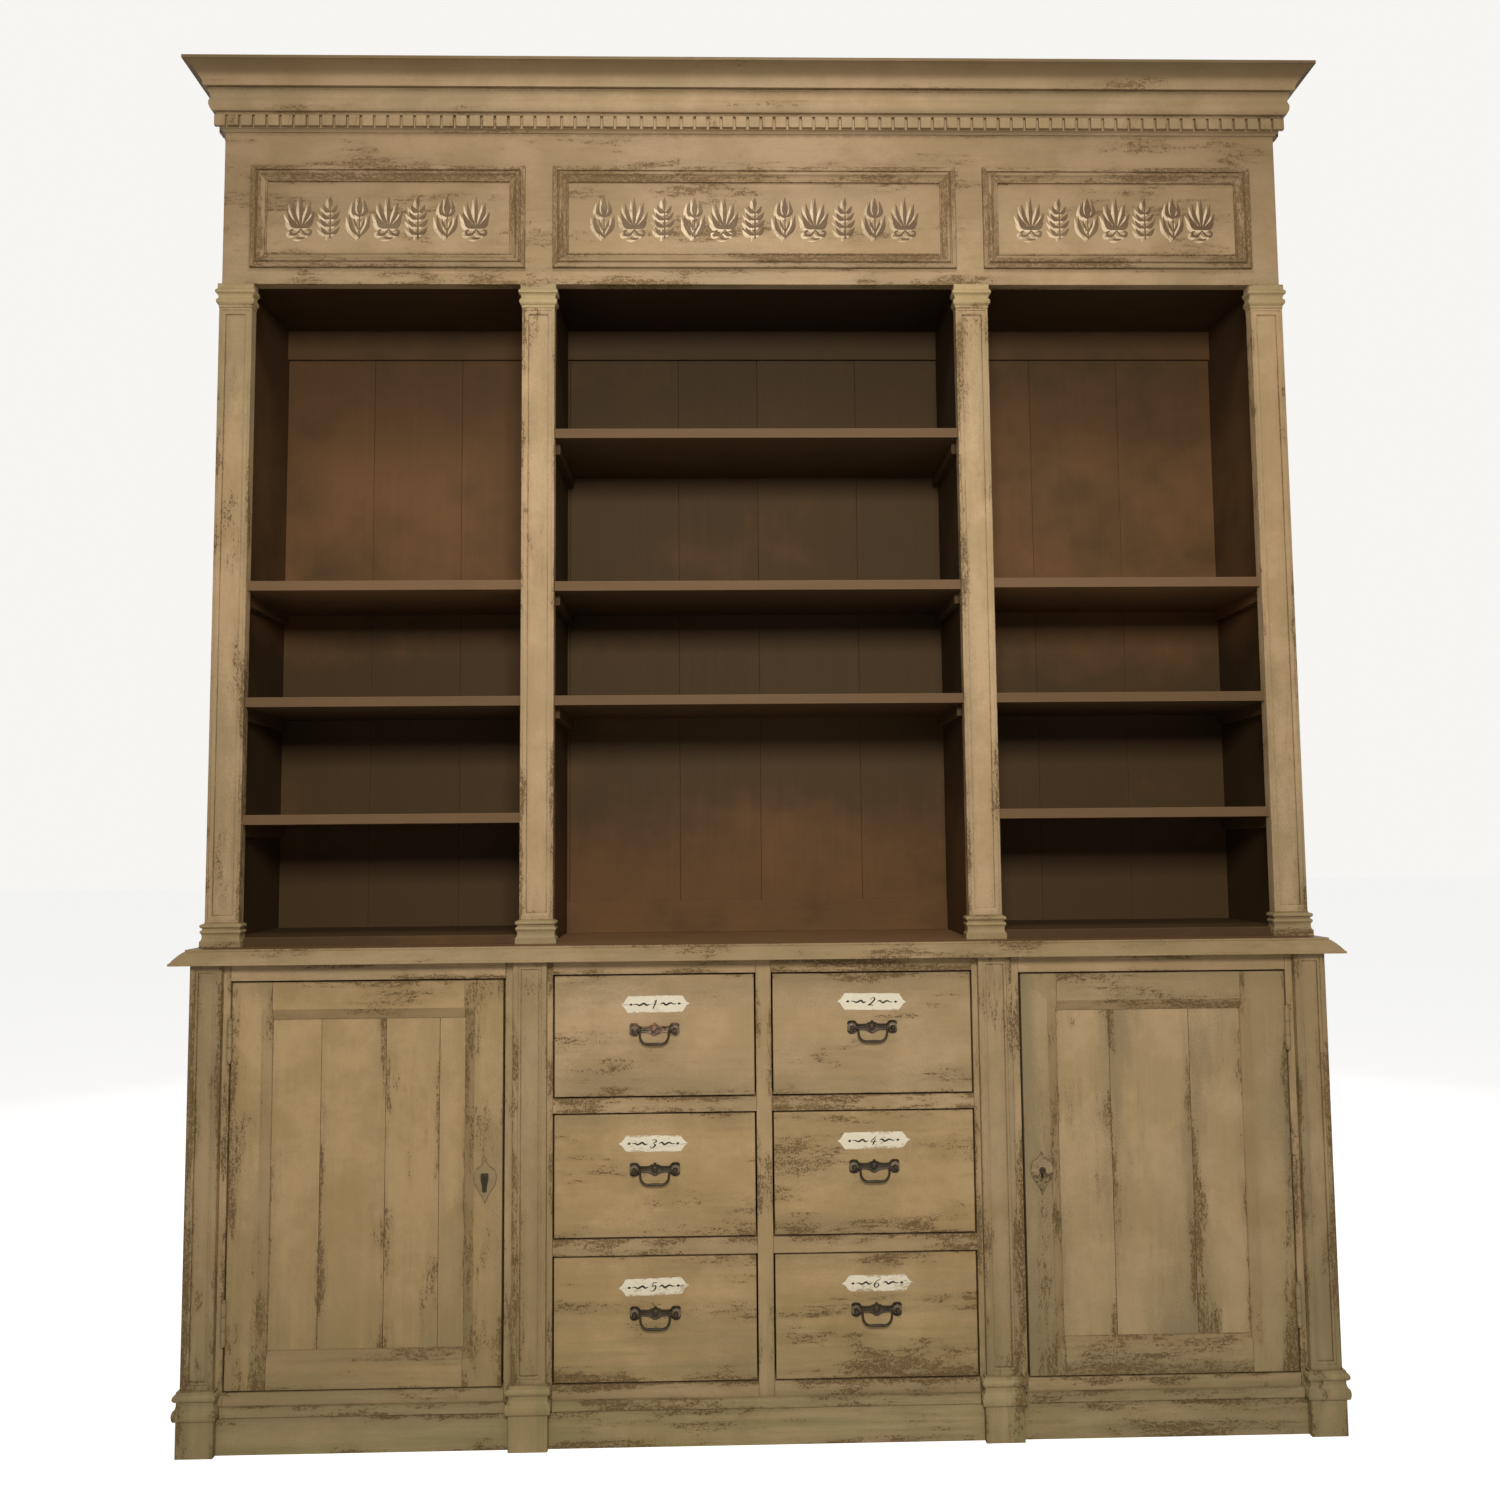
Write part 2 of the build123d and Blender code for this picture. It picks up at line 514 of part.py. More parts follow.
with BuildPart() as bay_ceiling:
    board((-UPPER_SIDE_X, UPPER_SIDE_X), (UPPER_Y + POST_T, BACK_FACE_Y),
          (CEILING_Z, CEILING_Z + SHELF_T))

with BuildPart() as upper_back_boards:
    for left, right in zip(BOARD_SEAMS, BOARD_SEAMS[1:]):
        board((left + KERF, right - KERF), (BACK_FACE_Y, BACK_Y), (DECK_Z, DUST_Z))
    front_edges = upper_back_boards.edges().filter_by(Axis.Z).group_by(Axis.Y)[0]
    chamfer(front_edges, length=BACK_BOARD_BEVELS[1])

with BuildPart() as upper_back_rails:
    rail_y = (BACK_FACE_Y - BACK_RAIL[0], BACK_FACE_Y)
    for x in both_sides(side_bay_x) + (middle_bay_x,):
        board(x, rail_y, (CEILING_Z - BACK_RAIL[1], CEILING_Z))
    board(middle_bay_x, rail_y, (DECK_Z, DECK_Z + BACK_RAIL[2]))

with BuildPart() as bay_shelves:
    for top in SIDE_SHELF_TOPS:
        for x in both_sides((side_bay_x[0] + KERF, side_bay_x[1] - KERF)):
            board(x, (UPPER_Y + POST_T, BACK_FACE_Y), (top - SHELF_T, top))
        for x in both_sides((side_mouth_x[0] + KERF, side_mouth_x[1] - KERF)):
            board(x, (SHELF_Y, UPPER_Y + POST_T), (top - SHELF_T, top))
    inner_half = UPPER_PILASTER_X - UPPER_PILASTER_W / 2 - KERF
    for top in MIDDLE_SHELF_TOPS:
        shelf_half = UPPER_DIVIDER[0] - KERF
        board((-shelf_half, shelf_half), (UPPER_Y + POST_T, BACK_FACE_Y), (top - SHELF_T, top))
        board((-inner_half, inner_half), (SHELF_Y, UPPER_Y + POST_T), (top - SHELF_T, top))

side_cleats = ((side_bay_x[0], side_bay_x[0] + CLEAT[0]), (side_bay_x[1] - CLEAT[0], side_bay_x[1]))
middle_cleats = ((UPPER_DIVIDER[0] - CLEAT[0], UPPER_DIVIDER[0]),)
with BuildPart() as shelf_cleats:
    for tops, cleats in ((SIDE_SHELF_TOPS, side_cleats), (MIDDLE_SHELF_TOPS, middle_cleats)):
        for top in tops:
            z = (top - SHELF_T - CLEAT[1], top - SHELF_T)
            for cleat_x in cleats:
                for x in both_sides(cleat_x):
                    board(x, CLEAT_Y, z)

upper_centres = (-UPPER_PILASTER_END_X, -UPPER_PILASTER_X, UPPER_PILASTER_X, UPPER_PILASTER_END_X)
with BuildPart() as upper_pilasters:
    for centre in upper_centres:
        half = UPPER_PILASTER_W / 2
        board((centre - half, centre + half), (UPPER_Y, UPPER_Y + POST_T), (SHAFT_Z, CAPITAL_Z))
        for inset, depth in UPPER_PILASTER_STEPS:
            field_x = (centre - half + inset, centre + half - inset)
            field_z = (SHAFT_Z + inset, CAPITAL_Z - inset)
            board(field_x, (UPPER_Y, UPPER_Y + depth), field_z, mode=Mode.SUBTRACT)


def capital_edge(at):
    """Torus, cyma and fillet of a capital under its plain block."""
    Polyline(at(0, CAPITAL_Z), at(1, CAPITAL_Z), at(1, CAPITAL_Z + 5))
    ThreePointArc(at(1, CAPITAL_Z + 5), at(5, CAPITAL_Z + 12), at(1.5, CAPITAL_Z + 19))
    Line(at(1.5, CAPITAL_Z + 19), at(1.5, CAPITAL_Z + 21))
    ThreePointArc(at(1.5, CAPITAL_Z + 21), at(2.8, CAPITAL_Z + 25.5), at(6.5, CAPITAL_Z + 29))
    Polyline(at(6.5, CAPITAL_Z + 29), at(6.5, CAPITAL_Z + 34), at(3, CAPITAL_Z + 38),
             at(3, BAY_TOP_Z), at(0, BAY_TOP_Z))
    return CAPITAL_Z, BAY_TOP_Z


def pedestal_edge(at):
    """Fillet, scotia, two rounds and a neck at the foot of an upper pilaster."""
    Polyline(at(0, DECK_Z), at(PEDESTAL_FLARE, DECK_Z), at(PEDESTAL_FLARE, DECK_Z + 11))
    Line(at(PEDESTAL_FLARE, DECK_Z + 11), at(5.5, DECK_Z + 12))
    ThreePointArc(at(5.5, DECK_Z + 12), at(3.5, DECK_Z + 18.5), at(4.6, DECK_Z + 25))
    ThreePointArc(at(4.6, DECK_Z + 25), at(6.4, DECK_Z + 28.5), at(4.6, DECK_Z + 32))
    Polyline(at(4.6, DECK_Z + 32), at(3.2, DECK_Z + 32.5), at(3.2, DECK_Z + 35.5))
    ThreePointArc(at(3.2, DECK_Z + 35.5), at(7, DECK_Z + 39.5), at(3.2, DECK_Z + 43.5))
    Polyline(at(3.2, DECK_Z + 43.5), at(1, DECK_Z + 44.5), at(1, SHAFT_Z), at(0, SHAFT_Z))
    return DECK_Z, SHAFT_Z


pilaster_half = UPPER_PILASTER_W / 2
capitals = [
    moulded_block(edge, centre, pilaster_half, UPPER_Y, UPPER_Y + POST_T)
    for centre in upper_centres
    for edge in (capital_edge, pedestal_edge)
]
with BuildPart() as pilaster_mouldings:
    add(capitals)

with BuildPart() as frieze:
    board((-UPPER_HALF, UPPER_HALF), (UPPER_Y, UPPER_Y + POST_T), (BAY_TOP_Z, DUST_Z))


def sign_edge(at):
    """Fillet, groove, ogee and bead of a sign frame, at(p, q) with p inwards and q outwards."""
    Polyline(at(0, 0), at(0, 6.5), at(1, 7.5), at(8.5, 7.5), at(9.5, 5), at(11.5, 5))
    ThreePointArc(at(11.5, 5), at(14, 8.6), at(18, 7.4))
    ThreePointArc(at(18, 7.4), at(22, 4), at(27, 2.4))
    Polyline(at(27, 2.4), at(28, 3.8), at(30.5, 3.8), at(SIGN_BORDER, 3.2), at(SIGN_BORDER, 0), at(0, 0))


def sign_length(plane, place, outline):
    """One mitred length of a sign frame: its moulding drawn on a plane, cut to an outline."""
    with BuildPart() as length:
        with BuildSketch(plane):
            with BuildLine():
                sign_edge(place)
            make_face()
        extrude(amount=HUGE, both=True)
        with BuildSketch(Plane.XZ):
            with BuildLine():
                Polyline(*outline, close=True)
            make_face()
        extrude(amount=HUGE, both=True, mode=Mode.INTERSECT)
    return length.part


def make_sign_frame(x, z):
    """Four lengths round a field, mitred at the corners."""
    border = SIGN_BORDER
    lengths = []
    for level, inward in ((z[0], 1), (z[1], -1)):
        inner = level + inward * border
        outline = ((x[0] + KERF, level), (x[1] - KERF, level),
                   (x[1] - border - KERF, inner), (x[0] + border + KERF, inner))
        lengths.append(sign_length(Plane.YZ, lambda p, q: (UPPER_Y - q, level + inward * p), outline))
    for level, inward in ((x[0], 1), (x[1], -1)):
        inner = level + inward * border
        outline = ((level, z[0] + KERF), (level, z[1] - KERF),
                   (inner, z[1] - border - KERF), (inner, z[0] + border + KERF))
        lengths.append(sign_length(Plane.XY, lambda p, q: (level + inward * p, UPPER_Y - q), outline))
    return lengths


sign_lengths = [length for x in SIGN_STRETCHES for length in make_sign_frame(x, SIGN_Z)]
with BuildPart() as sign_frames:
    add(sign_lengths)


def crown_edge(at):
    """Fascia and flared crown of the cornice."""
    Polyline(at(0, CROWN_Z), at(33, CROWN_Z), at(34.5, CROWN_Z + 8), at(39.5, CROWN_Z + 16))
    ThreePointArc(at(39.5, CROWN_Z + 16), at(49.5, CROWN_Z + 27.5), at(61.5, CROWN_Z + 36.5))
    Polyline(at(61.5, CROWN_Z + 36.5), at(63, CROWN_Z + 36.5), at(63, TOP_Z), at(0, TOP_Z))
    return CROWN_Z, TOP_Z


def band_edge(at):
    """Bed, dentil ground and swelling band of the cornice."""
    bottom = CORNICE_Z
    Polyline(at(0, bottom), at(2, bottom))
    ThreePointArc(at(2, bottom), at(4.5, bottom + 3.5), at(9, bottom + 5))
    Polyline(at(9, bottom + 5), at(9, bottom + 29), at(14, bottom + 29), at(14, bottom + 34),
             at(20, bottom + 34))
    ThreePointArc(at(20, bottom + 34), at(24.5, bottom + 43), at(22.5, bottom + 58))
    ThreePointArc(at(22.5, bottom + 58), at(23.5, bottom + 66), at(29, bottom + 73))
    top = CROWN_Z - KERF
    Polyline(at(29, bottom + 73), at(26, bottom + 73), at(26, top), at(0, top))
    return bottom, top


cornice_rings = [
    moulded_block(edge, 0, UPPER_HALF, UPPER_Y, BACK_Y) for edge in (crown_edge, band_edge)
]
with BuildPart() as cornice:
    add(cornice_rings)
    board((-UPPER_HALF, UPPER_HALF), (UPPER_Y, BACK_Y + 1), (CORNICE_Z - 1, TOP_Z + 1),
          mode=Mode.SUBTRACT)
    for side in (-1, 1):
        mitre = Plane(origin=(side * UPPER_HALF, UPPER_Y, 0)).rotated((0, 0, side * -45))
        with BuildSketch(mitre):
            Rectangle(200, KERF)
        extrude(amount=HUGE, mode=Mode.SUBTRACT)

with BuildPart() as dust_board:
    board((-UPPER_HALF, UPPER_HALF), (UPPER_Y, BACK_Y), (DUST_Z, TOP_Z))

dentil_run = 2 * (UPPER_HALF + DENTIL_OUT)
dentil_pitch = dentil_run / (DENTILS - 0.2)
dentil_w = dentil_pitch * 0.8
dentil_t = DENTIL_OUT - DENTIL_GROUND
dentil_mid_z = (DENTIL_Z[0] + DENTIL_Z[1]) / 2
dentil_h = DENTIL_Z[1] - DENTIL_Z[0]
side_dentils = int((BACK_Y - UPPER_Y + DENTIL_OUT) / dentil_pitch) - 1
side_start_y = UPPER_Y - DENTIL_OUT + dentil_pitch + dentil_w / 2
side_mid_x = UPPER_HALF + DENTIL_GROUND + dentil_t / 2
with BuildPart() as dentils:
    with Locations((0, UPPER_Y - DENTIL_GROUND - dentil_t / 2, dentil_mid_z)):
        with GridLocations(dentil_pitch, 0, DENTILS, 1):
            Box(dentil_w, dentil_t, dentil_h)
    side_mid_y = side_start_y + (side_dentils - 1) * dentil_pitch / 2
    with Locations((-side_mid_x, side_mid_y, dentil_mid_z), (side_mid_x, side_mid_y, dentil_mid_z)):
        with GridLocations(0, dentil_pitch, 1, side_dentils):
            Box(dentil_t, dentil_w, dentil_h)


# ---------------------------------------------------------------- labels and files
named = {
    "base_sides": base_sides.part,
    "base_dividers": base_dividers.part,
    "base_boards": base_boards.part,
    "base_back_boards": base_back_boards.part,
    "base_face_frame": base_face_frame.part,
    "drawer_runners": drawer_runners.part,
    "base_pilasters": base_pilasters.part,
    "pilaster_feet": pilaster_feet.part,
    "plinth": plinth.part,
    "worktop": worktop.part,
    "frame_hinges": frame_hinges.part,
    "upper_sides": upper_sides.part,
    "upper_dividers": upper_dividers.part,
    "bay_floors": bay_floors.part,
    "bay_ceiling": bay_ceiling.part,
    "upper_back_boards": upper_back_boards.part,
    "upper_back_rails": upper_back_rails.part,
    "bay_shelves": bay_shelves.part,
    "shelf_cleats": shelf_cleats.part,
    "upper_pilasters": upper_pilasters.part,
    "pilaster_mouldings": pilaster_mouldings.part,
    "frieze": frieze.part,
    "sign_frames": sign_frames.part,
    "cornice": cornice.part,
    "dust_board": dust_board.part,
    "dentils": dentils.part,
}
named.update(drawer_parts)

# the left door's fittings mirror the right door's; its stiles and planks have their own widths
right_pieces = {
    "door_hinges": right_door_hinges.part,
    "door_lock": right_door_lock.part,
    "lock_bolt": right_lock_bolt.part,
}
for name, piece in right_pieces.items():
    named[f"right_{name}"] = piece
    named[f"left_{name}"] = mirror(piece, about=Plane.YZ)
named["right_door_frame"] = make_door_frame(*RIGHT_STILES)
named["right_door_panel"] = make_door_panel(*RIGHT_STILES, RIGHT_SEAMS)
named["left_door_frame"] = mirror(make_door_frame(*LEFT_STILES), about=Plane.YZ)
named["left_door_panel"] = mirror(make_door_panel(*LEFT_STILES, LEFT_SEAMS), about=Plane.YZ)

os.makedirs("parts", exist_ok=True)
for name, piece in named.items():
    piece.label = name
    export_step(piece, f"parts/{name}.step")
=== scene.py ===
import json
import math
import random

import bmesh
import bpy
import numpy as np
from mathutils import Matrix, Vector


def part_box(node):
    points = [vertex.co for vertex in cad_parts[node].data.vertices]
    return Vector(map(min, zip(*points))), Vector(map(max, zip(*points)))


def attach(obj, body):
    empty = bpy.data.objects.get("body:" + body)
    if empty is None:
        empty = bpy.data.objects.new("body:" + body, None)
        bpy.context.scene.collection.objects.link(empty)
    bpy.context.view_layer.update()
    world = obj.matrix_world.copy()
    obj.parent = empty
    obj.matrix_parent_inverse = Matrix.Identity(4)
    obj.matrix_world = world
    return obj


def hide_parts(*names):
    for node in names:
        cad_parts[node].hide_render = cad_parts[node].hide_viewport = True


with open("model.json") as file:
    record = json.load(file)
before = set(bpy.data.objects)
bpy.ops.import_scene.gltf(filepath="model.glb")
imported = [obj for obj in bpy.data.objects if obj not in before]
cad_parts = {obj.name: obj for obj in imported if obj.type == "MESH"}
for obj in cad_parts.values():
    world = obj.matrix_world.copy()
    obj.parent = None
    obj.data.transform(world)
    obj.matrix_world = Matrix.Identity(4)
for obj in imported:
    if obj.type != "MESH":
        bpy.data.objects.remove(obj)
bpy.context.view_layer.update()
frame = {"nodes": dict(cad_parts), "record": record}
NODES = frame["nodes"]
BODY_OF = {n: body for body, names in frame["record"]["behaviour"]["bodies"].items() for n in names}
SLOT_OF = {n: o.data.materials[0].name.split(".")[0] for n, o in NODES.items()}
MM = 0.001              # lengths below are in metres, or in millimetres times MM

# ------------------------------------------------------------------ shader building

PROBES = 6              # rays that each Bevel and AmbientOcclusion node sends


class Shader:
    """A node material, built by naming nodes and what feeds them."""

    def __init__(self, name):
        self.mat = bpy.data.materials.new(name)
        self.mat.use_nodes = True
        self.tree = self.mat.node_tree
        self.tree.nodes.clear()

    def feed(self, socket, value):
        if isinstance(value, bpy.types.NodeSocket):
            self.tree.links.new(value, socket)
        elif socket.type == "RGBA" and len(value) == 3:
            socket.default_value = (*value, 1.0)
        else:
            socket.default_value = value

    def add(self, kind, settings=None, **inputs):
        node = self.tree.nodes.new("ShaderNode" + kind)
        for key, value in (settings or {}).items():
            setattr(node, key, value)
        for key, value in inputs.items():
            self.feed(node.inputs[key.replace("_", " ")], value)
        return node

    def maths(self, operation, *values):
        node = self.add("Math", {"operation": operation})
        for socket, value in zip(node.inputs, values):
            self.feed(socket, value)
        return node.outputs[0]

    def vector(self, operation, *values):
        node = self.add("VectorMath", {"operation": operation})
        for socket, value in zip(node.inputs, values):
            self.feed(socket, value)
        return node.outputs["Value" if operation == "DOT_PRODUCT" else "Vector"]

    def total(self, *terms):
        """Sum of (factor, socket) pairs and plain numbers."""
        out = None
        for term in terms:
            if isinstance(term, tuple):
                term = self.maths("MULTIPLY", term[1], term[0])
            out = term if out is None else self.maths("ADD", out, term)
        return out

    def step(self, value, low, high, to_low=0.0, to_high=1.0):
        """Smooth step of a value between low and high."""
        node = self.add("MapRange", {"interpolation_type": "SMOOTHSTEP"}, Value=value)
        for key, number in (("From Min", low), ("From Max", high), ("To Min", to_low), ("To Max", to_high)):
            self.feed(node.inputs[key], number)
        return node.outputs[0]

    def mix(self, share, a, b):
        """Colours a and b mixed by a share from 0 to 1."""
        node = self.add("Mix", {"data_type": "RGBA"})     # its colours are the inputs 6 and 7, and output 2
        self.feed(node.inputs[0], share)
        self.feed(node.inputs[6], a)
        self.feed(node.inputs[7], b)
        return node.outputs[2]

    def attribute(self, name, output="Vector"):
        return self.add("Attribute", {"attribute_name": name}).outputs[output]

    def noise(self, where, stretch=(1, 1, 1), scale=1.0, detail=3.0, roughness=0.55, offset=(0, 0, 0),
              warp=0.0):
        """Noise from 0 to 1 at a place, with its own frequency along each axis."""
        moved = self.vector("ADD", self.vector("MULTIPLY", where, stretch), offset)
        return self.add("TexNoise", None, Vector=moved, Scale=scale, Detail=detail, Roughness=roughness,
                        Distortion=warp).outputs["Fac"]

    def edges(self, radius, low, high):
        """1 along convex and concave edges, fading out over about the radius in metres.

        low and high are cosines of the angle between the rounded and the flat normal, for 1 and for 0.
        """
        rounded = self.add("Bevel", {"samples": PROBES}, Radius=radius).outputs[0]
        flat = self.add("NewGeometry").outputs["Normal"]
        return self.step(self.vector("DOT_PRODUCT", rounded, flat), high, low)

    def hollows(self, distance, low, high):
        """1 in corners and grooves of the same piece, seen from within the distance in metres."""
        node = self.add("AmbientOcclusion", {"samples": PROBES, "only_local": True}, Distance=distance)
        return self.step(node.outputs["AO"], high, low)

    def nearest_side(self):
        """Distance in metres from the nearer of a board's two long edges, which lay_grain stores."""
        sides = self.add("SeparateXYZ", None, Vector=self.attribute("across")).outputs
        return self.maths("MINIMUM", sides["X"], sides["Y"])

    def bump(self, height, distance, strength):
        return self.add("Bump", None, Height=height, Distance=distance, Strength=strength).outputs[0]

    def finish(self, colour, roughness, normal, metallic=0.0, specular=0.5):
        surface = self.add("BsdfPrincipled", None, Roughness=roughness, Normal=normal)
        self.feed(surface.inputs["Base Color"], colour)
        self.feed(surface.inputs["Metallic"], metallic)
        surface.inputs["Specular IOR Level"].default_value = specular
        out = self.add("OutputMaterial")
        self.tree.links.new(surface.outputs[0], out.inputs["Surface"])
        return self.mat


LOW_DARKENING_HEIGHTS = (0.42, 0.03)             # paint grows darker and greener from the first height down to the second
SIDE_BAY_FROM = (0.40, 0.50)            # distance from the middle over which the side bays begin
SIDE_BAY_LIT_HEIGHTS = (1.40, 1.58)           # heights over which painted light makes the brown warm in the side bays
MIDDLE_BAY_LIT_HEIGHTS = (1.30, 1.05)         # the same in the middle bay, downwards
BAYS_SHADE_HEIGHTS = (1.80, 2.16)              # heights over which all bays grow darker: painted shade under their tops


def shaded(colour, level):
    """A colour made darker, or lighter with a level above 1."""
    return tuple(c * level for c in colour)


def aged_paint(name, pale, mid, dull, bare, wear=0.0, edge_wear=0.45, rim_wear=0.0, rim=0.02, soot=None,
               film_share=0.5, on_metal=False):
    """Matt paint brushed along the grain, rubbed through to what is bare below it in dry streaks.

    wear is rubbed off everywhere, edge_wear at edges, rim_wear within rim of a board's long edges.
    film_share is how much of the grey-green dirt film is left. The painted shade above a height is given as
    the height where it begins to darken the paint, the height from which it is at its darkest, and its share
    there.
    """
    sh = Shader(name)
    place = sh.add("TexCoord").outputs["Object"]
    grain = place if on_metal else sh.attribute("grain")    # plain CAD nodes have no grain of their own
    tone = sh.attribute("tone", "Fac")
    height_up = sh.add("SeparateXYZ", None, Vector=place).outputs["Z"]
    broad = sh.noise(place, scale=1.7, detail=2)
    cloud = sh.noise(place, scale=7, detail=6, roughness=0.68)
    brush = sh.noise(grain, (5, 150, 150), detail=3)
    hair = sh.noise(grain, (26, 900, 900), detail=2)
    speck = sh.noise(grain, (110, 260, 260), detail=5, roughness=0.72, offset=(3.1, 7.7, 1.3))
    speck = sh.step(speck, 0.36, 0.64)
    scratch = sh.step(sh.noise(place, (1.6, 1.6, 1.0), scale=260, detail=4, roughness=0.7), 0.36, 0.64)
    dash = sh.noise(grain, (14, 110, 110), detail=4, roughness=0.65, offset=(6.0, 0.3, 2.2))
    dash = sh.step(dash, 0.34, 0.68)
    patch = sh.noise(grain, (4.5, 14, 14), detail=6, roughness=0.68, offset=(9.2, 1.4, 5.5))
    patch = sh.step(patch, 0.36, 0.68)
    smear = sh.noise(grain, (1.2, 24, 24), detail=5, roughness=0.66, offset=(4.4, 2.9, 8.1))
    smear = sh.step(smear, 0.36, 0.68)
    edge = sh.edges(0.0045, 0.55, 0.985)
    groove = sh.hollows(0.012, 0.35, 0.9)
    low_down = sh.step(height_up, *LOW_DARKENING_HEIGHTS)
    from_side = sh.nearest_side()
    near_rim = sh.step(from_side, rim, 0.0)
    wide_rim = sh.step(from_side, rim * 2.6, 0.0)

    paint = sh.mix(sh.step(sh.total((0.6, cloud), (0.4, broad)), 0.42, 0.58), mid, pale)
    paint = sh.mix(sh.total((0.42, sh.step(cloud, 0.60, 0.36)), (0.16, scratch), (0.10, speck)), paint, dull)
    paint = sh.mix(sh.step(brush, 0.35, 0.75, 0.0, 0.20), paint, pale)
    paint = sh.mix(sh.total((0.20, tone), (0.12, hair)), paint, dull)
    # darker and greener towards the bottom, in streaks
    darker_low_colour = tuple(c * k for c, k in zip(dull, (0.80, 0.94, 0.92)))
    paint = sh.mix(sh.maths("MULTIPLY", low_down, sh.step(smear, 0.1, 1.0, 0.20, 0.80)), paint, darker_low_colour)
    film = sh.noise(grain, (1.9, 9, 9), detail=5, roughness=0.62, offset=(7.3, 3.8, 0.6))
    filmed = sh.total((1.0, film), (0.10, wide_rim), (0.10, sh.maths("SUBTRACT", scratch, 0.5)),
                      (0.06, low_down))
    paint = sh.mix(sh.step(filmed, 0.50, 0.74, 0.0, film_share), paint, FILM)

    rim_share = sh.maths("MULTIPLY", near_rim, sh.total((0.9, patch), 0.55))
    rubbed = sh.total((0.52, patch), (0.27, smear), (edge_wear, edge), (0.10, low_down),
                      (rim_wear, rim_share), wear)
    worn = sh.step(rubbed, 0.42, 0.95)
    through = sh.step(sh.total((0.52, worn), (0.34, speck), (0.28, scratch), (0.12, dash)), 0.74, 0.93)
    haze = sh.total((0.40, worn), (0.14, sh.maths("MULTIPLY", wide_rim, dash)))
    under = sh.mix(sh.step(brush, 0.3, 0.7), bare, shaded(bare, 0.74))
    colour = sh.mix(haze, paint, tuple(0.60 * a + 0.40 * b for a, b in zip(bare, dull)))
    colour = sh.mix(sh.maths("MULTIPLY", through, 0.88), colour, under)
    # the dark colour of dirt and of painted shade
    dirt_and_shade = shaded(bare, 0.55)
    # dirt and painted shade in grooves and corners
    colour = sh.mix(sh.maths("MULTIPLY", groove, sh.step(patch, 0.2, 0.7, 0.15, 0.40)), colour, dirt_and_shade)
    # painted shade: darker from a given height upwards
    if soot:
        begins, full, share = soot
        colour = sh.mix(sh.step(height_up, begins, full, 0.0, share), colour, dirt_and_shade)

    height = sh.total((0.5, brush), (0.25, hair), (0.35, cloud), (0.15, speck), (-0.8, through))
    normal = sh.bump(height, 0.0006, 0.7)
    gloss = sh.total((0.12, brush), (0.16, through), 0.50)
    return sh.finish(colour, gloss, normal, specular=0.22)


def brown_paint(name, base, warm, dark):
    """Old dark brown paint on boards: matt, cloudy, warmer in patches and as painted light, darker up high
    as painted shade.

    It is warm as painted light most high in the side bays and low in the middle bay, between the limits
    given above.
    """
    sh = Shader(name)
    grain = sh.attribute("grain")
    place = sh.add("TexCoord").outputs["Object"]
    tone = sh.attribute("tone", "Fac")
    broad = sh.noise(place, (1, 1, 1.3), scale=2.6, detail=3)
    cloud = sh.noise(place, scale=14, detail=5, roughness=0.6)
    brush = sh.noise(grain, (4, 120, 120), detail=4)
    hair = sh.noise(grain, (20, 700, 700), detail=2)
    rub = sh.noise(grain, (18, 160, 160), detail=5, roughness=0.7, offset=(2.2, 6.1, 3.3))
    edge = sh.edges(0.005, 0.6, 0.985)
    groove = sh.hollows(0.03, 0.3, 0.9)
    parts = sh.add("SeparateXYZ", None, Vector=place)
    height_up = parts.outputs["Z"]
    in_side_bay = sh.step(sh.maths("ABSOLUTE", parts.outputs["X"]), *SIDE_BAY_FROM)
    in_middle_bay = sh.maths("SUBTRACT", 1.0, in_side_bay)
    # painted light: warmer high in the side bays and low in the middle bay, where the lamps reach in
    high_side_bay = sh.maths("MULTIPLY", in_side_bay, sh.step(height_up, *SIDE_BAY_LIT_HEIGHTS))
    low_middle_bay = sh.maths("MULTIPLY", in_middle_bay, sh.step(height_up, *MIDDLE_BAY_LIT_HEIGHTS))
    warmth_and_light = sh.total((0.55, broad), (0.30, cloud),
                     (0.20, sh.maths("MAXIMUM", high_side_bay, low_middle_bay)))
    colour = sh.mix(sh.step(warmth_and_light, 0.42, 0.72), base, warm)
    colour = sh.mix(sh.total((0.16, tone), (0.22, brush)), colour, dark)
    colour = sh.mix(sh.step(sh.total((0.5, edge), rub), 0.72, 1.0, 0.0, 0.65), colour, shaded(warm, 1.7))
    # dirt and painted shade in corners and grooves
    colour = sh.mix(sh.maths("MULTIPLY", groove, 0.3), colour, shaded(dark, 0.6))
    # painted shade: darker high in the bays
    colour = sh.mix(sh.step(height_up, *BAYS_SHADE_HEIGHTS, 0.0, 0.5), colour, shaded(dark, 0.7))
    normal = sh.bump(sh.total((0.6, brush), (0.3, hair), (0.3, cloud)), 0.0005, 0.6)
    return sh.finish(colour, sh.total((0.14, brush), (0.10, cloud), 0.52), normal, specular=0.14)


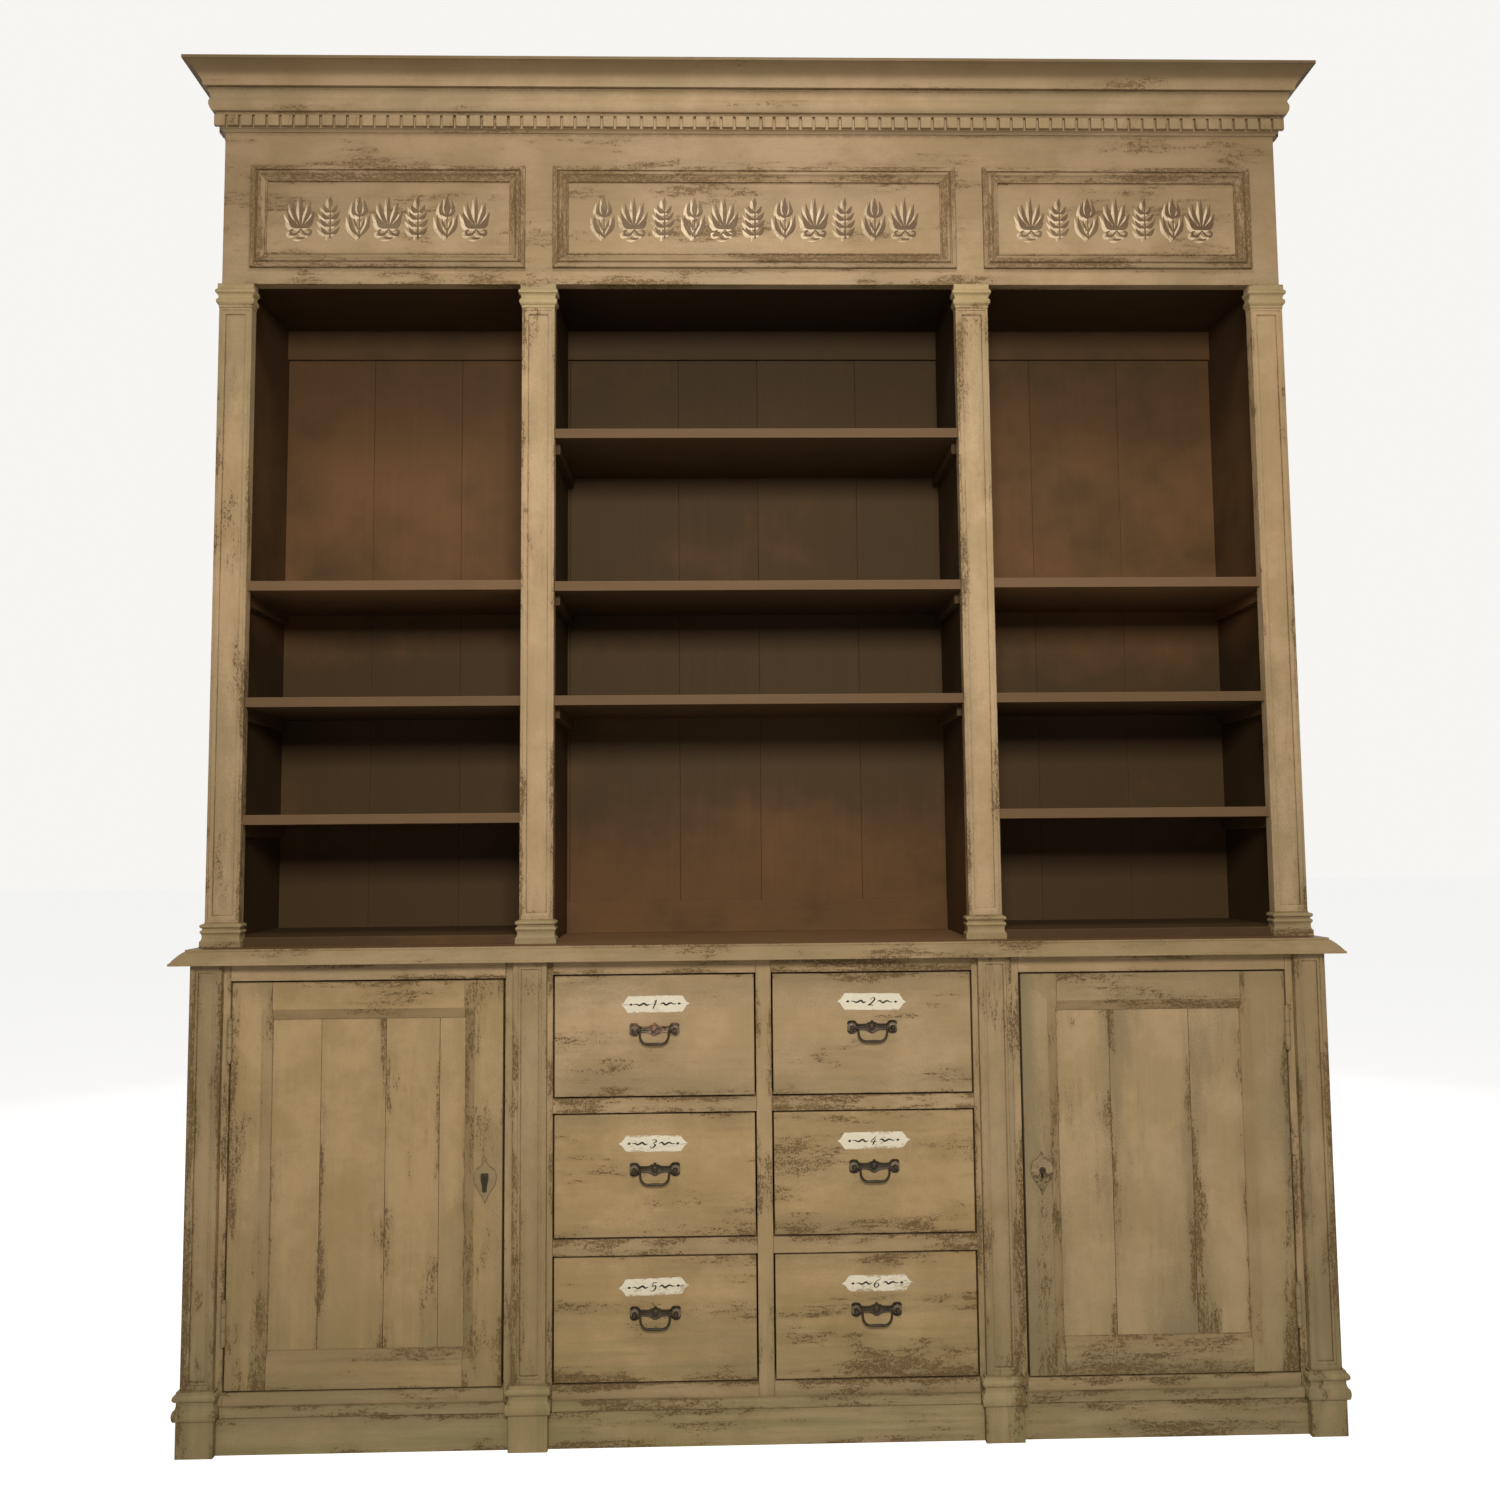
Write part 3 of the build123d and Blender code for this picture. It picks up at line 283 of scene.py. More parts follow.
def bare_wood(name, pale, dark, stain):
    """Unpainted softwood: growth lines along the board, knots of darker grain, handling dirt at edges, dirt
    and painted shade in corners.
    """
    sh = Shader(name)
    grain = sh.attribute("grain")
    tone = sh.attribute("tone", "Fac")
    sway = sh.noise(grain, (2.2, 7, 7), detail=3)
    lines = sh.noise(grain, (3.0, 130, 130), detail=4, roughness=0.65, warp=0.4)
    pores = sh.noise(grain, (30, 900, 900), detail=2)
    blotch = sh.noise(grain, (5, 9, 9), detail=4, offset=(5.1, 0.4, 2.7))
    groove = sh.hollows(0.03, 0.3, 0.95)
    edge = sh.edges(0.004, 0.6, 0.985)
    colour = sh.mix(sh.step(sh.total((0.65, lines), (0.35, sway)), 0.34, 0.66), pale, dark)
    colour = sh.mix(sh.total((0.25, tone), (0.25, sh.step(blotch, 0.45, 0.75))), colour, stain)
    # darker at edges from handling dirt, and in corners from dirt and painted shade
    colour = sh.mix(sh.total((0.30, edge), (0.5, groove)), colour, shaded(stain, 0.6))
    normal = sh.bump(sh.total((0.6, lines), (0.4, pores)), 0.0005, 0.6)
    return sh.finish(colour, sh.total((0.16, lines), (0.08, blotch), 0.55), normal, specular=0.3)


RUST_SOFTNESS = 0.14    # rise of the blotches' value over which rust sets in


def iron(name, dark, rubbed, rust, metallic, rust_share, rust_from=0.56):
    """Cast or forged iron with an old dark skin, bright where hands rub it, rusty in blotches.

    More of it rusts with a lower rust_from, which is the value of the blotches where rust begins.
    """
    sh = Shader(name)
    place = sh.add("TexCoord").outputs["Object"]
    cloud = sh.noise(place, scale=55, detail=4)
    grit = sh.noise(place, scale=900, detail=2)
    blotch = sh.noise(place, scale=130, detail=4, roughness=0.65, offset=(4.0, 2.0, 9.0))
    edge = sh.edges(0.0016, 0.5, 0.97)
    groove = sh.hollows(0.004, 0.3, 0.9)
    colour = sh.mix(sh.step(cloud, 0.35, 0.7), dark, shaded(dark, 1.6))
    colour = sh.mix(sh.step(sh.total((0.55, edge), (0.6, blotch)), 0.52, 0.95, 0.0, 0.75), colour, rubbed)
    colour = sh.mix(sh.step(blotch, rust_from, rust_from + RUST_SOFTNESS, 0.0, rust_share), colour, rust)
    colour = sh.mix(sh.maths("MULTIPLY", groove, 0.7), colour, shaded(dark, 0.4))
    normal = sh.bump(sh.total((0.5, grit), (0.8, blotch)), 0.0003, 0.5)
    return sh.finish(colour, sh.total((0.3, blotch), (-0.14, edge), 0.36), normal, metallic=metallic)


# the pale paint where it is clean, between, and dull; the coat below it; the dirt film on it
PALE, MID, DULL = (0.475, 0.350, 0.205), (0.405, 0.292, 0.162), (0.315, 0.234, 0.112)
UNDERCOAT = (0.160, 0.100, 0.042)
FILM = (0.232, 0.188, 0.104)
# the brown paint of the bays; where it is warm, in patches and as painted light; and where it is dark, also
# as painted shade
BROWNS = ((0.088, 0.052, 0.022), (0.188, 0.096, 0.039), (0.056, 0.035, 0.016))
# iron's skin, and where hands rub it
IRON_SKIN, IRON_RUBBED = (0.034, 0.024, 0.012), (0.260, 0.200, 0.130)


def shade(level, green=1.0, blue=1.0):
    """The pale paint's three colours, lighter or darker, greener where damp, yellower with less blue."""
    return tuple((r * level, g * level * green, b * level * blue) for r, g, b in (PALE, MID, DULL))


def wood_paint(name, tint=(1.0,), **wear):
    """The pale paint over its undercoat, in a shade of its own; wear is passed on to aged_paint."""
    return aged_paint(name, *shade(*tint), UNDERCOAT, **wear)


MATERIALS = {
    "aged_paint": wood_paint("aged paint"),
    "brown_paint": brown_paint("brown paint", *BROWNS),
    "bare_wood": bare_wood("bare wood", (0.430, 0.290, 0.165), (0.300, 0.180, 0.092), (0.190, 0.115, 0.062)),
    "painted_iron": aged_paint("painted iron", *shade(0.85, 1.03), (0.090, 0.060, 0.035), wear=0.10,
                               edge_wear=0.7, on_metal=True),
    "dark_iron": iron("dark iron", IRON_SKIN, IRON_RUBBED, (0.120, 0.060, 0.028), 0.25, 0.4),
}
panel_paint = wood_paint("panel paint", (0.99, 0.97, 0.90), rim_wear=0.32, rim=0.016, wear=0.02,
                         film_share=0.35)
mossy_panel_paint = wood_paint("mossy panel paint", (1.02,), rim_wear=0.34, rim=0.018, wear=0.08,
                               film_share=0.75)
door_paint = wood_paint("door paint", (1.01, 0.97, 0.90), rim_wear=0.16, rim=0.014, wear=0.20, edge_wear=0.6)
mossy_door_paint = wood_paint("mossy door paint", (0.88, 1.02), rim_wear=0.16, rim=0.014, wear=0.18,
                              film_share=0.8)
bevel_paint = wood_paint("door bevel paint", (0.84, 0.98, 0.92), wear=0.32, edge_wear=0.8, film_share=0.2)
escutcheon_paint = aged_paint("escutcheon paint", *shade(0.84, 1.03), (0.070, 0.047, 0.024), wear=0.16,
                              edge_wear=1.5, on_metal=True)
frame_paint = wood_paint("face frame paint", (1.06, 0.99), rim_wear=0.24, rim=0.020, wear=0.10,
                         film_share=0.35)
DRAWER_WEAR = {"rim_wear": 0.24, "rim": 0.026, "wear": 0.12, "edge_wear": 0.5}
drawer_paint = wood_paint("drawer paint", (1.03, 0.99), **DRAWER_WEAR)
low_drawer_paint = wood_paint("low drawer paint", (1.03, 0.97, 0.89), **DRAWER_WEAR)
pilaster_paint = wood_paint("pilaster paint", (0.88, 1.01), rim_wear=0.26, rim=0.016, wear=0.16,
                            edge_wear=0.6)
shaft_paint = wood_paint("shaft paint", (1.08, 0.97), rim_wear=0.22, rim=0.014, wear=0.10, edge_wear=0.6)
plinth_paint = wood_paint("plinth paint", (0.96, 1.04), rim_wear=0.18, rim=0.020, wear=0.10, edge_wear=0.6)
# the frieze grows darker towards its top: painted shade under the cornice
frieze_paint = wood_paint("frieze paint", (0.91, 0.97), rim_wear=0.08, rim=0.05, wear=0.19,
                          soot=(2.18, 2.42, 0.30))
sign_paint = wood_paint("sign frame paint", (0.78, 0.96), wear=0.46, edge_wear=0.5)
# the cornice's crown is darkened: painted shade
cornice_paint = wood_paint("cornice paint", (0.77, 0.98), wear=0.12, edge_wear=0.55,
                           soot=(2.594, 2.606, 0.62))
worktop_paint = wood_paint("worktop paint", (0.92,), wear=0.20, edge_wear=0.35)
worktop_wood = brown_paint("worktop wood", (0.185, 0.104, 0.046), (0.230, 0.130, 0.060),
                           (0.100, 0.058, 0.028))
nose_paint = brown_paint("shelf nose", (0.155, 0.095, 0.049), (0.200, 0.122, 0.064), (0.080, 0.049, 0.026))
# a darker copy of the brown paint: painted shade on the bays' sides, dividers and ceiling
shaded_bay_paint = brown_paint("bay side", *(shaded(brown, 0.68) for brown in BROWNS))

PAINT_OF = {
    "left_door_panel": panel_paint, "right_door_panel": mossy_panel_paint,
    "left_door_lock": escutcheon_paint, "right_door_lock": escutcheon_paint,
    "left_door_frame": door_paint, "right_door_frame": mossy_door_paint,
    "base_face_frame": frame_paint, "base_pilasters": pilaster_paint, "upper_pilasters": shaft_paint,
    "pilaster_feet": plinth_paint, "pilaster_mouldings": plinth_paint, "plinth": plinth_paint,
    "frieze": frieze_paint, "sign_frames": sign_paint, "cornice": cornice_paint, "dentils": cornice_paint,
    "worktop": worktop_paint, "upper_dividers": shaded_bay_paint, "bay_ceiling": shaded_bay_paint,
}
DRAWERS = range(1, 7)
PAINT_OF.update({f"drawer_front_{n}": drawer_paint if n < 3 else low_drawer_paint for n in DRAWERS})


def second_finish(node, bay_edge):
    """The other finish of a node painted in two colours, and a test for the faces that have it.

    The test is given a face's centre and its normal; bay_edge is a y just behind the shelves' front edges.
    """
    if node == "upper_sides":
        return shaded_bay_paint, lambda c, n: n.x * c.x < -0.5 * abs(c.x)
    if node == "worktop":
        return worktop_wood, lambda c, n: n.z > 0.9
    if node.endswith("back_boards"):
        return MATERIALS["bare_wood"], lambda c, n: n.y > 0.9
    if node.endswith("door_frame"):
        return bevel_paint, lambda c, n: 0.5 < -n.y < 0.97
    if node == "bay_shelves":
        return nose_paint, lambda c, n: c.y < bay_edge and n.y < -0.3
    return None


# ------------------------------------------------------------------ softened boards

# how far the edges of boards are eased, for each slot; metal keeps its CAD edges
EASE = {"aged_paint": 0.9 * MM, "brown_paint": 1.1 * MM, "bare_wood": 0.8 * MM}


def islands(bm):
    """The connected solids of a mesh, as lists of vertices."""
    left = set(bm.verts)
    for seed in bm.verts:
        if seed not in left:
            continue
        found, queue = [], [seed]
        left.discard(seed)
        while queue:
            v = queue.pop()
            found.append(v)
            for e in v.link_edges:
                w = e.other_vert(v)
                if w in left:
                    left.discard(w)
                    queue.append(w)
        yield found


def lay_grain(mesh, rng, whole=False):
    """Gives each solid of a mesh its own grain along its longest side, place in the wood and tone.

    across holds a point's distances from the two long edges of its board.
    """
    bm = bmesh.new()
    bm.from_mesh(mesh)
    grain = bm.verts.layers.float_vector.new("grain")
    across = bm.verts.layers.float_vector.new("across")
    tone = bm.verts.layers.float.new("tone")
    groups = [list(bm.verts)] if whole else list(islands(bm))
    for verts in groups:
        co = np.array([v.co for v in verts])
        low, high = co.min(0), co.max(0)
        by_length = np.argsort(high - low)
        along, wide, thin = int(by_length[2]), int(by_length[1]), int(by_length[0])
        shift = [rng.uniform(-40, 40) for _ in range(3)]
        own_tone = rng.random()
        for v in verts:
            v[grain] = (v.co[along] + shift[0], v.co[wide] + shift[1], v.co[thin] + shift[2])
            v[across] = (v.co[wide] - low[wide], high[wide] - v.co[wide], 0)
            v[tone] = own_tone
    bm.to_mesh(mesh)
    bm.free()


def ease_edges(bm, width):
    """Rounds the long sharp edges of every solid by about the width, less where a face is narrow."""
    sharp_angle, shortest = math.radians(32), 3 * width
    for verts in list(islands(bm)):
        members = set(verts)
        sharp = [e for e in bm.edges if e.verts[0] in members and e.is_manifold
                 and e.calc_face_angle(0) > sharp_angle and e.calc_length() > shortest]
        if sharp:
            bmesh.ops.bevel(bm, geom=sharp, offset=width, segments=2, profile=0.6, affect="EDGES",
                            clamp_overlap=True, miter_outer="ARC")


FIELDED = ("base_pilasters", "upper_pilasters")     # their sunk fields keep crisp edges
MOULDED = ("cornice", "worktop", "pilaster_feet", "pilaster_mouldings", "sign_frames")


def softened(node, rng):
    """Makes a copy of a CAD node with eased edges and grain, which stands in for it."""
    bm = bmesh.new()
    bm.from_mesh(NODES[node].data)
    bmesh.ops.remove_doubles(bm, verts=bm.verts, dist=1e-6)
    if node not in FIELDED:
        bmesh.ops.dissolve_limit(bm, angle_limit=math.radians(0.5), verts=bm.verts, edges=bm.edges)
        ease_edges(bm, EASE[SLOT_OF[node]])
    bmesh.ops.triangulate(bm, faces=[f for f in bm.faces if len(f.verts) > 4])
    bmesh.ops.dissolve_degenerate(bm, dist=5e-6, edges=bm.edges)
    second = second_finish(node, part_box("bay_shelves")[0][1] + 0.5 * MM)
    if second:
        for face in bm.faces:
            face.material_index = int(second[1](face.calc_center_median(), face.normal))
    mesh = bpy.data.meshes.new(node + "_eased")
    bm.to_mesh(mesh)
    bm.free()
    mesh.polygons.foreach_set("use_smooth", [True] * len(mesh.polygons))
    mesh.set_sharp_from_angle(angle=math.radians(30 if node in MOULDED else 14))
    lay_grain(mesh, rng)
    piece = bpy.data.objects.new(node + "_eased", mesh)
    bpy.context.scene.collection.objects.link(piece)
    level = piece.modifiers.new("flat faces stay flat", "WEIGHTED_NORMAL")
    level.keep_sharp = True
    mesh.materials.append(PAINT_OF.get(node, MATERIALS[SLOT_OF[node]]))
    if second:
        mesh.materials.append(second[0])
    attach(piece, BODY_OF[node])
    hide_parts(node)


for index, (node, thing) in enumerate(sorted(NODES.items())):
    thing.data.materials[0] = PAINT_OF.get(node, MATERIALS[SLOT_OF[node]])
    if SLOT_OF[node] in EASE:
        softened(node, random.Random(100 + index))

# ------------------------------------------------------------------ shapes laid on a face


def add_piece(name, bm, materials, body, rng, smooth_angle=30):
    """Makes a piece of a finished bmesh, with its own grain, riding on a body."""
    bmesh.ops.recalc_face_normals(bm, faces=bm.faces)
    mesh = bpy.data.meshes.new(name)
    bm.to_mesh(mesh)
    bm.free()
    mesh.polygons.foreach_set("use_smooth", [True] * len(mesh.polygons))
    mesh.set_sharp_from_angle(angle=math.radians(smooth_angle))
    lay_grain(mesh, rng, whole=True)
    for material in materials:
        mesh.materials.append(material)
    piece = bpy.data.objects.new(name, mesh)
    bpy.context.scene.collection.objects.link(piece)
    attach(piece, body)
    return piece


def smooth_path(points, steps=6):
    """Points along a smooth curve through the given ones."""
    pts = [np.array(q, float) for q in points]
    pts = [2 * pts[0] - pts[1]] + pts + [2 * pts[-1] - pts[-2]]
    out = []
    for a, b, c, d in zip(pts, pts[1:], pts[2:], pts[3:]):
        for k in range(steps):
            t = k / steps
            out.append(0.5 * (2 * b + (c - a) * t + (2 * a - 5 * b + 4 * c - d) * t ** 2
                              + (3 * b - a - 3 * c + d) * t ** 3))
    out.append(pts[-2])
    return out


def skin(bm, rows, material=0):
    """Joins rows of points, each a ring, into a tube with end caps."""
    rings = [[bm.verts.new(q) for q in row] for row in rows]
    made = []
    for lower, upper in zip(rings, rings[1:]):
        for i in range(len(lower)):
            j = (i + 1) % len(lower)
            made.append(bm.faces.new((lower[i], lower[j], upper[j], upper[i])))
    made.append(bm.faces.new(rings[0][::-1]))
    made.append(bm.faces.new(rings[-1]))
    for face in made:
        face.material_index = material


def heading(path, i):
    """The direction of a path of (x, z, ...) points at its point i."""
    ahead, behind = path[min(i + 1, len(path) - 1)], path[max(i - 1, 0)]
    return Vector((ahead[0] - behind[0], ahead[1] - behind[1])).normalized()


# a stroke's crowned section: places across it in half widths, with the share of its rise there
CROWN = ((-1, 0), (-0.86, 0.7), (0, 1), (0.86, 0.7), (1, 0))
THINNEST = 0.2 * MM


def stroke(bm, points, widths, face_y, rise):
    """A crowned brush stroke lying on a face at face_y: (x, z) points with half widths, in metres."""
    path = smooth_path([(x, z, w) for (x, z), w in zip(points, widths)])
    rows = []
    for i, (x, z, w) in enumerate(path):
        tangent = heading(path, i)
        w = max(w, THINNEST)
        rows.append([(x - tangent.y * w * side, face_y - rise * up, z + tangent.x * w * side)
                     for side, up in CROWN])
    skin(bm, rows)


def stack(bm, outline, levels):
    """A closed outline of (x, z) points raised through levels of (inset, y)."""
    pts = [Vector(q) for q in outline]
    turn = sum(a.x * b.y - b.x * a.y for a, b in zip(pts, pts[1:] + pts[:1]))
    normals = []
    for i, q in enumerate(pts):
        t = (pts[(i + 1) % len(pts)] - pts[i - 1]).normalized()
        normals.append(Vector((-t.y, t.x)) * (1 if turn > 0 else -1))
    rows = [[(q.x + n.x * inset, y, q.y + n.y * inset) for q, n in zip(pts, normals)] for inset, y in levels]
    skin(bm, rows)


def proud(face_y, profile):
    """A profile of (inset or radius, distance in front of a face) in millimetres, in metres and world y."""
    return [(inset * MM, face_y - y * MM) for inset, y in profile]


def turned(bm, x, z, profile, segments=24, petals=0, depth=0.0, material=0):
    """A round piece turned about an axis along Y: profile is (radius, y), from back to front.

    petals is how many lobes its widest rings have, and depth how far they stand out, as a share.
    """
    rows = []
    for r, y in profile:
        ring = []
        for k in range(segments):
            a = 2 * math.pi * k / segments
            lobe = 1 + depth * math.cos(petals * a) * min(1.0, r / profile[0][0])
            ring.append((x + r * lobe * math.cos(a), y, z + r * lobe * math.sin(a)))
        rows.append(ring)
    skin(bm, rows, material=material)


def middle(node):
    """The centre of a CAD node's box."""
    low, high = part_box(node)
    return tuple((a + b) / 2 for a, b in zip(low, high))


# ------------------------------------------------------------------ leaf bands of the sign fields

LEAF_BAND = aged_paint("leaf band", (0.160, 0.104, 0.058), (0.130, 0.083, 0.045), (0.100, 0.064, 0.034),
                       (0.070, 0.043, 0.021), wear=-0.05, edge_wear=0.3)
LEAF_SHADE = aged_paint("leaf band shade", (0.700, 0.580, 0.410), (0.640, 0.520, 0.355),
                        (0.540, 0.420, 0.270), (0.330, 0.235, 0.140), wear=0.06, edge_wear=0.2)

# each sprig below yields its strokes: (x, z) points and the half widths there, in millimetres


def fern():
    """A sprig with four pairs of leaves, about 40 mm wide and 86 mm high."""
    yield ((0, -42), (0, -10), (0, 24)), (1.7, 1.6, 0.9)
    yield ((0, 20), (0, 32), (0, 43)), (0.8, 3.6, 0.4)
    for z, reach in ((-34, 19), (-18, 20), (-3, 18), (11, 14)):
        for side in (-1, 1):
            yield ((0, z), (side * reach * 0.55, z + 4), (side * reach, z + 15)), (0.7, 3.9, 0.4)


def palmette():
    """A fan of seven leaves over two volutes."""
    root = -22
    for angle, length in ((-74, 30), (-50, 44), (-25, 56), (0, 64), (25, 56), (50, 44), (74, 30)):
        way = math.radians(angle)
        bend = math.radians(angle * 0.8)
        yield (((0, root), (math.sin(way) * length * 0.55, root + math.cos(way) * length * 0.55),
                (math.sin(bend) * length * 0.95, root + math.cos(bend) * length)), (0.8, 3.7, 0.5))
    for side in (-1, 1):
        yield (((0, -24), (side * 8, -33), (side * 17, -35), (side * 20, -28), (side * 14, -25)),
               (1.0, 2.2, 2.6, 2.0, 1.3))
    yield ((-9, -41), (0, -42.5), (9, -41)), (0.6, 1.8, 0.6)


def bud():
    """A closed flower on a stem between two long leaves."""
    yield ((0, -42), (0, -20), (0, 2)), (1.5, 1.3, 1.2)
    yield ((0, 0), (0, 19), (0, 43)), (1.0, 6.0, 0.5)
    for side in (-1, 1):
        yield ((0, 1), (side * 12, 13), (side * 9, 36)), (1.0, 3.9, 0.4)
        yield ((0, -40), (side * 15, -20), (side * 20, 6)), (0.8, 4.2, 0.4)
        yield ((0, -28), (side * 7, -14), (side * 10, -3)), (0.6, 2.2, 0.4)


SPRIGS = (fern, palmette, bud)


def leaf_band(name, mid_x, mid_z, count, pitch, rng):
    """A row of sprigs in brown, each over its own pale shade to the left and below."""
    face_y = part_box("frieze")[0][1]
    dark, pale = bmesh.new(), bmesh.new()
    for k in range(count):
        x0 = mid_x + (k - (count - 1) / 2) * pitch
        flip = rng.choice((-1, 1))
        for points, widths in SPRIGS[(k * 2 + count) % len(SPRIGS)]():
            spread = [w * MM * rng.uniform(0.9, 1.15) for w in widths]
            place = [(x0 + flip * x * MM, mid_z + z * MM) for x, z in points]
            stroke(dark, place, spread, face_y - 0.25 * MM, 0.9 * MM)
            lower = [(x - 7 * MM, z - 5 * MM) for x, z in place]
            stroke(pale, lower, [w * 0.95 for w in spread], face_y + 0.1 * MM, 0.4 * MM)
    add_piece(name, dark, [LEAF_BAND], "cabinet", rng)
    add_piece(name + "_shade", pale, [LEAF_SHADE], "cabinet", rng)


SIDE_SIGN_WIDTH = 539 * MM
SIDE_PITCH, MIDDLE_PITCH = 57.5 * MM, 60.0 * MM     # from one sprig to the next
sign_low, sign_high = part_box("sign_frames")
sign_mid_z = (sign_low[2] + sign_high[2]) / 2
side_sign_x = sign_high[0] - SIDE_SIGN_WIDTH / 2
band_rng = random.Random(7)
leaf_band("leaf_band_left", -side_sign_x, sign_mid_z, 7, SIDE_PITCH, band_rng)
leaf_band("leaf_band_middle", 0.0, sign_mid_z, 11, MIDDLE_PITCH, band_rng)
leaf_band("leaf_band_right", side_sign_x, sign_mid_z, 7, SIDE_PITCH, band_rng)

# ------------------------------------------------------------------ drawer labels


def label_paint():
    """Chalky white paint, thin along its edges and worn through to the drawer's paint."""
    sh = Shader("label paint")
    place = sh.add("TexCoord").outputs["Object"]
    edge = sh.step(sh.nearest_side(), 0.005, 0.0)
    cloud = sh.noise(place, scale=60, detail=4, roughness=0.65)
    chips = sh.noise(place, (1, 1, 2.2), scale=150, detail=4, roughness=0.7, offset=(3, 1, 7))
    broad = sh.noise(place, scale=16, detail=2, offset=(5, 5, 1))
    colour = sh.mix(cloud, (0.82, 0.775, 0.640), (0.70, 0.645, 0.500))
    worn = sh.step(sh.total((0.8, chips), (0.7, broad), (0.16, edge)), 0.80, 0.95)
    colour = sh.mix(sh.maths("MULTIPLY", worn, 0.85), colour, MID)
    normal = sh.bump(sh.total((0.6, cloud), (-0.8, worn)), 0.0002, 0.6)
    return sh.finish(colour, sh.total((0.15, cloud), 0.55), normal, specular=0.3)


def ink():
    """Dark ink, faded in places."""
    sh = Shader("label ink")
    place = sh.add("TexCoord").outputs["Object"]
    fade = sh.noise(place, scale=160, detail=3)
    colour = sh.mix(sh.step(fade, 0.45, 0.80), (0.024, 0.021, 0.016), (0.110, 0.092, 0.066))
    return sh.finish(colour, sh.total((0.2, fade), 0.5), sh.bump(fade, 0.0001, 0.4), specular=0.3)


LABEL_PAINT, INK = label_paint(), ink()
LABEL_DROP = 53 * MM            # middle of a label below its drawer front's top edge
PEN_LEAN = 0.35                 # how far the ink leans to the right for its height
PEN_WIDTH = 1.2 * MM            # the ink's half width where a stroke's table says 1
# pen strokes of the numerals 1 to 6, about 10 mm wide and 16 mm high: points and widths
NUMERALS = (
    ((((-3, 4), (0, 7.5), (0, 2), (-1, -8)), (0.3, 0.8, 1.2, 0.9)),),
    ((((-4, 3), (-1, 7.5), (4, 5), (1, -2), (-5, -7), (0, -6), (6, -7.5)),
      (0.5, 0.5, 1.3, 1.2, 0.5, 0.9, 0.3)),),
    ((((-4, 5), (0, 7.5), (4, 4), (0, 0.5), (4.5, -3), (0, -8), (-5, -5)),
      (0.5, 0.5, 1.2, 0.4, 1.3, 0.6, 0.6)),),
    ((((2, 7.5), (-2, 2), (-5, -2), (0, -2.5), (6, -2)), (0.6, 0.8, 0.4, 0.7, 0.4)),
     (((2.5, 3), (1.5, -3), (0.5, -8)), (0.5, 1.2, 0.8))),
    ((((4, 7), (-2, 7), (-3, 1), (2, 2), (4, -3), (0, -8), (-5, -6)),
      (0.6, 0.7, 0.6, 0.8, 1.3, 0.6, 0.5)),),
    ((((4, 7), (-2, 3), (-4.5, -4), (0, -8), (4, -4), (0, -0.5), (-4, -4)),
      (0.4, 0.7, 1.3, 0.6, 1.1, 0.4, 0.4)),),
)
# the ornament to the right of the numeral: a tapering wavy rule that ends in a drop
RULE = ((((10, 0), (15, 1.8), (21, -1.8), (28, 1.6), (35, -0.6), (40, 0)), (0.3, 1.3, 1.5, 1.3, 0.8, 0.3)),
        (((42, -0.4), (44.5, 0), (48, 0.4)), (0.4, 1.9, 0.3)))


def drawer_label(number, rng):
    """A pointed plate of white paint with the drawer's number between two wavy rules drawn in ink.

    length and height are half the plate's, in millimetres.
    """
    low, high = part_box(f"drawer_front_{number}")
    cx, cz = (low[0] + high[0]) / 2 + rng.uniform(-4, 4) * MM, high[2] - LABEL_DROP
    tilt = math.radians(rng.uniform(-1.6, 2.2))
    length, height = rng.uniform(63, 69), rng.uniform(14, 15.5)

    def put(x, z):
        """Millimetres on the label as metres on the drawer front."""
        return (cx + (x * math.cos(tilt) - z * math.sin(tilt)) * MM,
                cz + (x * math.sin(tilt) + z * math.cos(tilt)) * MM)

    tip, neck, shoulder, crown = (length, 0), (length - 6, 3.6), (length - 14, height), (0, height + 0.4)
    upper = [tip, neck, shoulder, crown] + [(-x, z) for x, z in (shoulder, neck)]
    corners = upper + [(-x, -z) for x, z in upper]
    ragged, cuts = 0.4, 8
    outline = []
    for (ax, az), (bx, bz) in zip(corners, corners[1:] + corners[:1]):
        for k in range(cuts):
            t = k / cuts
            x, z = ax + (bx - ax) * t, az + (bz - az) * t
            outline.append(put(x + rng.uniform(-ragged, ragged), z + rng.uniform(-ragged, ragged)))
    face_y = low[1]
    bm = bmesh.new()
    stack(bm, outline, proud(face_y, ((0, -0.05), (0.1, 0.20), (0.7, 0.28))))
    add_piece(f"label_{number}", bm, [LABEL_PAINT], f"drawer_{number}", rng)
    bm = bmesh.new()
    marks = list(NUMERALS[number - 1])
    for side in (-1, 1):
        marks += [([(side * x, side * z) for x, z in points], widths) for points, widths in RULE]
    for points, widths in marks:
        stroke(bm, [put(x + PEN_LEAN * z, z) for x, z in points], [w * PEN_WIDTH for w in widths],
               face_y - 0.25 * MM, 0.12 * MM)
    add_piece(f"numeral_{number}", bm, [INK], f"drawer_{number}", rng)


# ------------------------------------------------------------------ pulls, bails and keyholes

# right half of a pull's plate, from its top finial to its foot, in millimetres
PLATE = ((0, 12.6), (2.6, 11.4), (3.4, 9.2), (7.5, 8.6), (9.6, 6.8), (14, 6.1), (24, 6.0), (28, 7.2),
         (30.5, 10.6), (34, 12.2), (41, 12.3), (45.5, 10.2), (46.2, 6), (44.6, 1.5), (46.2, -4),
         (45.6, -9.6), (41, -12.3), (34.5, -12.3), (31, -10.4), (28, -7.0), (24, -6.0), (15, -6.2),
         (10.5, -7.2), (6.5, -9.2), (3, -11.6))
